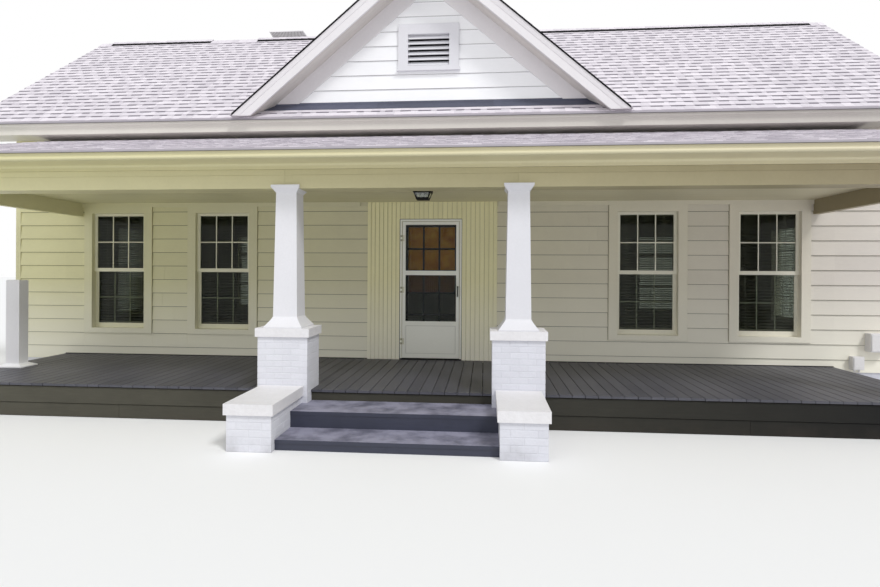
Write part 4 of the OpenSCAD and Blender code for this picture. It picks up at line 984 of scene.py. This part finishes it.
# Windows
def window_places():
    """Each window's place, and whether its blind is closed."""
    for x in WINDOWS_X:
        yield (lambda u, y, z, x=x: local(x + u, y, z)), False
        yield (lambda u, y, z, x=x: local(x - u, HOUSE_D - y, z)), True
    yield (lambda u, y, z: local(-HALF_W + y, RIDGE_Y - u, z)), True
    yield (lambda u, y, z: local(HALF_W - y, RIDGE_Y + u, z)), False


def glazing_bars(place, half, z0, z1, rows, bar, nose, front, back, behind):
    """Bars for three columns and some rows of panes, with sloping sides from their half width
    bar at the back to nose at the front. The level ones lie a little behind the upright ones."""
    for u in (-half / 3, half / 3):
        run([(-bar, back), (-nose, front), (nose, front), (bar, back)], z0, z1,
            lambda a, y, z: place(u + a, y, z))
    front += behind
    for k in range(1, rows):
        middle = z0 + (z1 - z0) * k / rows
        run([(-bar, back), (-nose, front), (nose, front), (bar, back)], -half, half,
            lambda a, y, u: place(u, y, middle + a))


# The panes' edges, from the sashes' meeting rail, stiles and rails, and the blinds below z_top
PANE_HALF = 0.3782
MEETING_Z = 1.3165
z_top = HEAD_Z - 0.0123
PANES = ((MEETING_Z + 0.0275, z_top - 0.039, 0.0375, 0.0444),
         (SILL_Z + 0.0843, MEETING_Z - 0.0275, 0.084, 0.0905))
SLAT_HALF, SLAT_REACH, SLAT_STEP = 0.417, 0.0185, 0.044
BOX_LOW, BLIND_LOW = z_top - 0.045, z_top - 1.69
for place, _ in window_places():
    for z0, z1, front, back in PANES:
        glazing_bars(place, PANE_HALF, z0, z1, 2, 0.0085, 0.004675, front, back, 0.0004)
    for u in (-0.33, 0.33):
        box((u - 0.018, 0.0585, SILL_Z + 0.016), (u + 0.018, 0.064, SILL_Z + 0.03), place=place)
make("window_bars", SASH)

for place, closed in window_places():
    box((-0.419, 0.102, BOX_LOW), (0.419, 0.14, z_top), place=place)
    tilt = math.radians(chance.uniform(5, 11) + (58 if closed else 0))
    c, s = math.cos(tilt) * SLAT_REACH, math.sin(tilt) * SLAT_REACH
    z = BOX_LOW - 0.025
    while z > BLIND_LOW:
        run([(c, s + 0.0012), (c, s), (0.0, -0.0016), (-c, -s), (-c, -s + 0.0012), (0.0, -0.0004)],
            -SLAT_HALF, SLAT_HALF, lambda a, b, t: place(t, 0.121 + a, z + b), tone())
        z -= SLAT_STEP
    box((-SLAT_HALF, 0.108, BLIND_LOW - 0.01), (SLAT_HALF, 0.134, BLIND_LOW + 0.004), place=place)
make("blind_slats", BLIND, stands_for=("window_blinds",))

for place, _ in window_places():
    for u in (-0.27, 0.27):
        for y in (0.1015, 0.1395):
            box((u - 0.0016, y, BLIND_LOW), (u + 0.0016, y + 0.001, BOX_LOW), place=place)
make("blind_cords", BLIND)

# Glazing bars of the inner door
LIGHT_HALF, LIGHT_TOP, LIGHT_FOOT = 0.355, 1.983, 0.333
DOOR_Y = 0.075
glazing_bars(lambda u, y, z: local(DOOR_X + u, y, z), LIGHT_HALF, LIGHT_FOOT, LIGHT_TOP, 5,
             0.013, 0.0065, DOOR_Y + 0.0075, DOOR_Y + 0.0193, 0.0005)
make("door_bars", DOOR_DARK, body="front_door")

# A pleated curtain behind the glass of the inner door. Its darker lower part is painted shade, standing
# for the dark reflection that dims the lower glass
COLUMNS, ROWS = 96, 24
CLOTH_FOOT, CLOTH_TOP, CLOTH_HALF = 0.985, LIGHT_TOP - 0.004, LIGHT_HALF - 0.004
for j in range(ROWS + 1):
    z = CLOTH_FOOT + (CLOTH_TOP - CLOTH_FOOT) * j / ROWS
    for i in range(COLUMNS + 1):
        fold = 0.004 * math.sin(i * math.pi / 2.0 + 0.025 * j)
        x = DOOR_X - CLOTH_HALF + 2 * CLOTH_HALF * i / COLUMNS
        points.append(local(x, DOOR_Y + 0.0325 + fold, z))
        tones.append(0.5 if z > 1.3 else -0.85)
for j in range(ROWS):
    for i in range(COLUMNS):
        a = j * (COLUMNS + 1) + i
        faces.append([a, a + 1, a + COLUMNS + 2, a + COLUMNS + 1])
make("door_curtain", CURTAIN, body="front_door", smooth=True)

# A raised moulding round the storm door's kick panel, a little darker than the door: painted shade
KICK_HALF, KICK_LOW, KICK_HIGH, KICK_WIDE = 0.371, 0.092, 0.509, 0.007
kick_z = (KICK_LOW + KICK_HIGH) / 2


def kick_corner(corner, inset, y, taper=1.0):
    x = (KICK_HALF - inset) * corner[0]
    return local(DOOR_X + x * taper, y, kick_z + (KICK_HIGH - kick_z - inset) * corner[1])


for a, b in zip(SQUARE, SQUARE[1:] + SQUARE[:1]):
    solid(*([kick_corner(a, 0, y0, taper), kick_corner(b, 0, y0, taper),
                   kick_corner(b, KICK_WIDE, y1), kick_corner(a, KICK_WIDE, y1)]
                  for y0, y1, taper in ((-0.0265, -0.0265, 1.0), (-0.0279, -0.0275, 0.995))), tone=-0.3)
make("kick_moulding", STORM, body="storm_door")

# The storm door's mounting frame on the jambs, dark strips of painted shade in the gap round it, and a
# dark sill
frame_top = DOOR_TOP - 0.0005
for side in SIDES:
    a, b = sorted((DOOR_X + side * 0.434, DOOR_X + side * 0.4572))
    run(bevelled(a, b, -0.0283, -0.03, 0.001, 0.0007), 0.021, frame_top, local)
run([(-0.0283, DOOR_TOP - 0.0262), (-0.03, DOOR_TOP - 0.0252), (-0.03, frame_top - 0.001),
     (-0.0283, frame_top)], DOOR_X - 0.4338, DOOR_X + 0.4338)
make("storm_frame", STORM)

for a, b in ((-0.468, -0.4576), (0.4576, 0.463)):
    run([(-0.0196, a + 0.001), (-0.0196, b - 0.001), (-0.0184, b), (-0.0184, a)], 0.001, DOOR_TOP +
        0.008, lambda y, x, z: local(DOOR_X + x, y, z))
run([(-0.0196, 0.0015), (-0.0196, 0.007), (-0.0184, 0.008), (-0.0184, 0.0005)], -0.4572, 0.4572,
    lambda y, z, x: local(DOOR_X + x, y, DOOR_TOP + z))
make("door_gap_shade", DARK)

run([(-0.03, 0.0005), (-0.03, 0.018), (-0.027, 0.0212), (0.148, 0.0212), (0.148, 0.02), (-0.0282, 0.02),
     (-0.0282, 0.0005)], DOOR_X - 0.457, DOOR_X + 0.457)
make("door_sill", DARK)

# Lantern: a wide top plate, a narrower one and a base, four corner bars, rails and panes
low, high = box_of("porch_light")
lx, ly = (low.x + high.x) / 2, (low.y + high.y) / 2
body_z0, body_z1 = low.z + 0.012, high.z - 0.072
HEAD, FOOT, BAR_HALF, BEVEL = 0.104, 0.0795, 0.008, 0.003
for half, z0, z1 in ((0.116, high.z - 0.066, high.z), (0.107, body_z1, high.z - 0.066),
                     (0.08, low.z, body_z0)):
    solid(rectangle(lx, ly, half - BEVEL, half - BEVEL, z0), rectangle(lx, ly, half, half, z1))
for a, b in SQUARE:
    solid(*(rectangle(lx + a * (half - BAR_HALF), ly + b * (half - BAR_HALF), BAR_HALF, BAR_HALF, z)
            for half, z in ((FOOT, low.z + 0.01), (HEAD, body_z1 + 0.001))))
for place in turns_round(lx, ly):
    box((-FOOT, FOOT - 0.008, body_z0), (FOOT, FOOT, body_z0 + 0.012), place=place)
make("lantern_frame", BLACK, stands_for=("porch_light",))
for place in turns_round(lx, ly):
    solid(*([place(-half, half - 0.006, z), place(half, half - 0.006, z), place(half, half - 0.004, z),
             place(-half, half - 0.004, z)] for half, z in ((FOOT, body_z0), (HEAD, body_z1))))
make("lantern_panes", LAMP_GLASS)

bulb = ((0.0, 0.014), (0.01, 0.016), (0.022, 0.029), (0.038, 0.033), (0.052, 0.023), (0.06, 0.006))
for (drop0, radius0), (drop1, radius1) in zip(bulb, bulb[1:]):
    solid(circle(lx, ly, radius0, body_z1 - drop0, 16), circle(lx, ly, radius1, body_z1 - drop1, 16))
make("lantern_bulb", BULB, smooth=True)

# Hasp and rail of the large utility box, rail and two cable sockets of the small one
front = box_of("utility_boxes")[0].y
large_x, small_x = HALF_W - 0.29, HALF_W - 0.545
box((large_x + 0.088, front - 0.0045, 0.345), (large_x + 0.104, front + 0.001, 0.385), 0.3)
box((large_x - 0.09, front - 0.0025, 0.25), (large_x + 0.09, front + 0.001, 0.258), 0.4)
box((small_x - 0.04, -0.113, 0.03), (small_x + 0.04, -0.109, 0.036), 0.4)
for x in (small_x - 0.03, small_x + 0.03):
    solid(circle(x, -0.06, 0.012, -0.056, 12), circle(x, -0.06, 0.014, -0.021, 12), tone=0.1)
make("box_fittings", BOX_PAINT)

# Floor
bpy.ops.mesh.primitive_plane_add(size=240, location=(0, 0, -0.001))
ground = bpy.context.active_object
ground.name = "floor"
pale = new_material("pale_floor", "")
shader = Graph(pale).tree.nodes["Principled BSDF"].inputs
shader["Base Color"].default_value = (0.86, 0.86, 0.86, 1)
shader["Roughness"].default_value = 0.95
ground.data.materials.append(pale)

# World: white where it is seen, also in mirrors and through glass, and a dimmer sky as light
world = bpy.data.worlds.new("studio")
scene.world = world
graph = Graph(world)
graph.tree.nodes.clear()
rays = graph.add("LightPath")
is_seen = graph.maths("MAXIMUM", rays["Is Camera Ray"], rays["Is Transmission Ray"])
is_seen = graph.maths("MAXIMUM", is_seen, rays["Is Glossy Ray"])
lit = graph.add("Background", Color=(0.96, 0.98, 1.0, 1), Strength=0.58)[0]
seen = graph.add("Background", Color=(1, 1, 1, 1), Strength=1.0)[0]
graph.add("OutputWorld", Surface=graph.both(is_seen, lit, seen))


def sun(name, strength, angle, turn, height):
    lamp = bpy.data.lights.new(name, "SUN")
    lamp.energy = strength
    lamp.angle = math.radians(angle)
    in_scene(name, lamp).rotation_euler = (math.radians(90 - height), 0, math.radians(turn))


sun("key", 1.62, 14, 42, 50)
sun("fill", 0.6, 60, -35, 38)

# Camera: fitted to the photograph, with focal length and vertical shift in its pixels
PHOTO_WIDTH, FOCAL_PX, SHIFT_PX = 880, 550.904, -20.759
YAW, ROLL = math.radians(4.658), math.radians(0.3)
camera = in_scene("camera", bpy.data.cameras.new("camera"))
camera.data.sensor_fit = "HORIZONTAL"
camera.data.sensor_width = 36
camera.data.lens = 36 * FOCAL_PX / PHOTO_WIDTH
camera.data.shift_y = SHIFT_PX / PHOTO_WIDTH
camera.data.clip_end = 300
turned = Matrix.Rotation(YAW, 4, "Z") @ Matrix.Rotation(math.radians(90), 4, "X")
camera.matrix_world = (Matrix.Translation(local(0.839, -8.167, 1.296)) @ turned
                       @ Matrix.Rotation(ROLL, 4, "Z"))
scene.camera = camera
scene.view_settings.view_transform = "Standard"
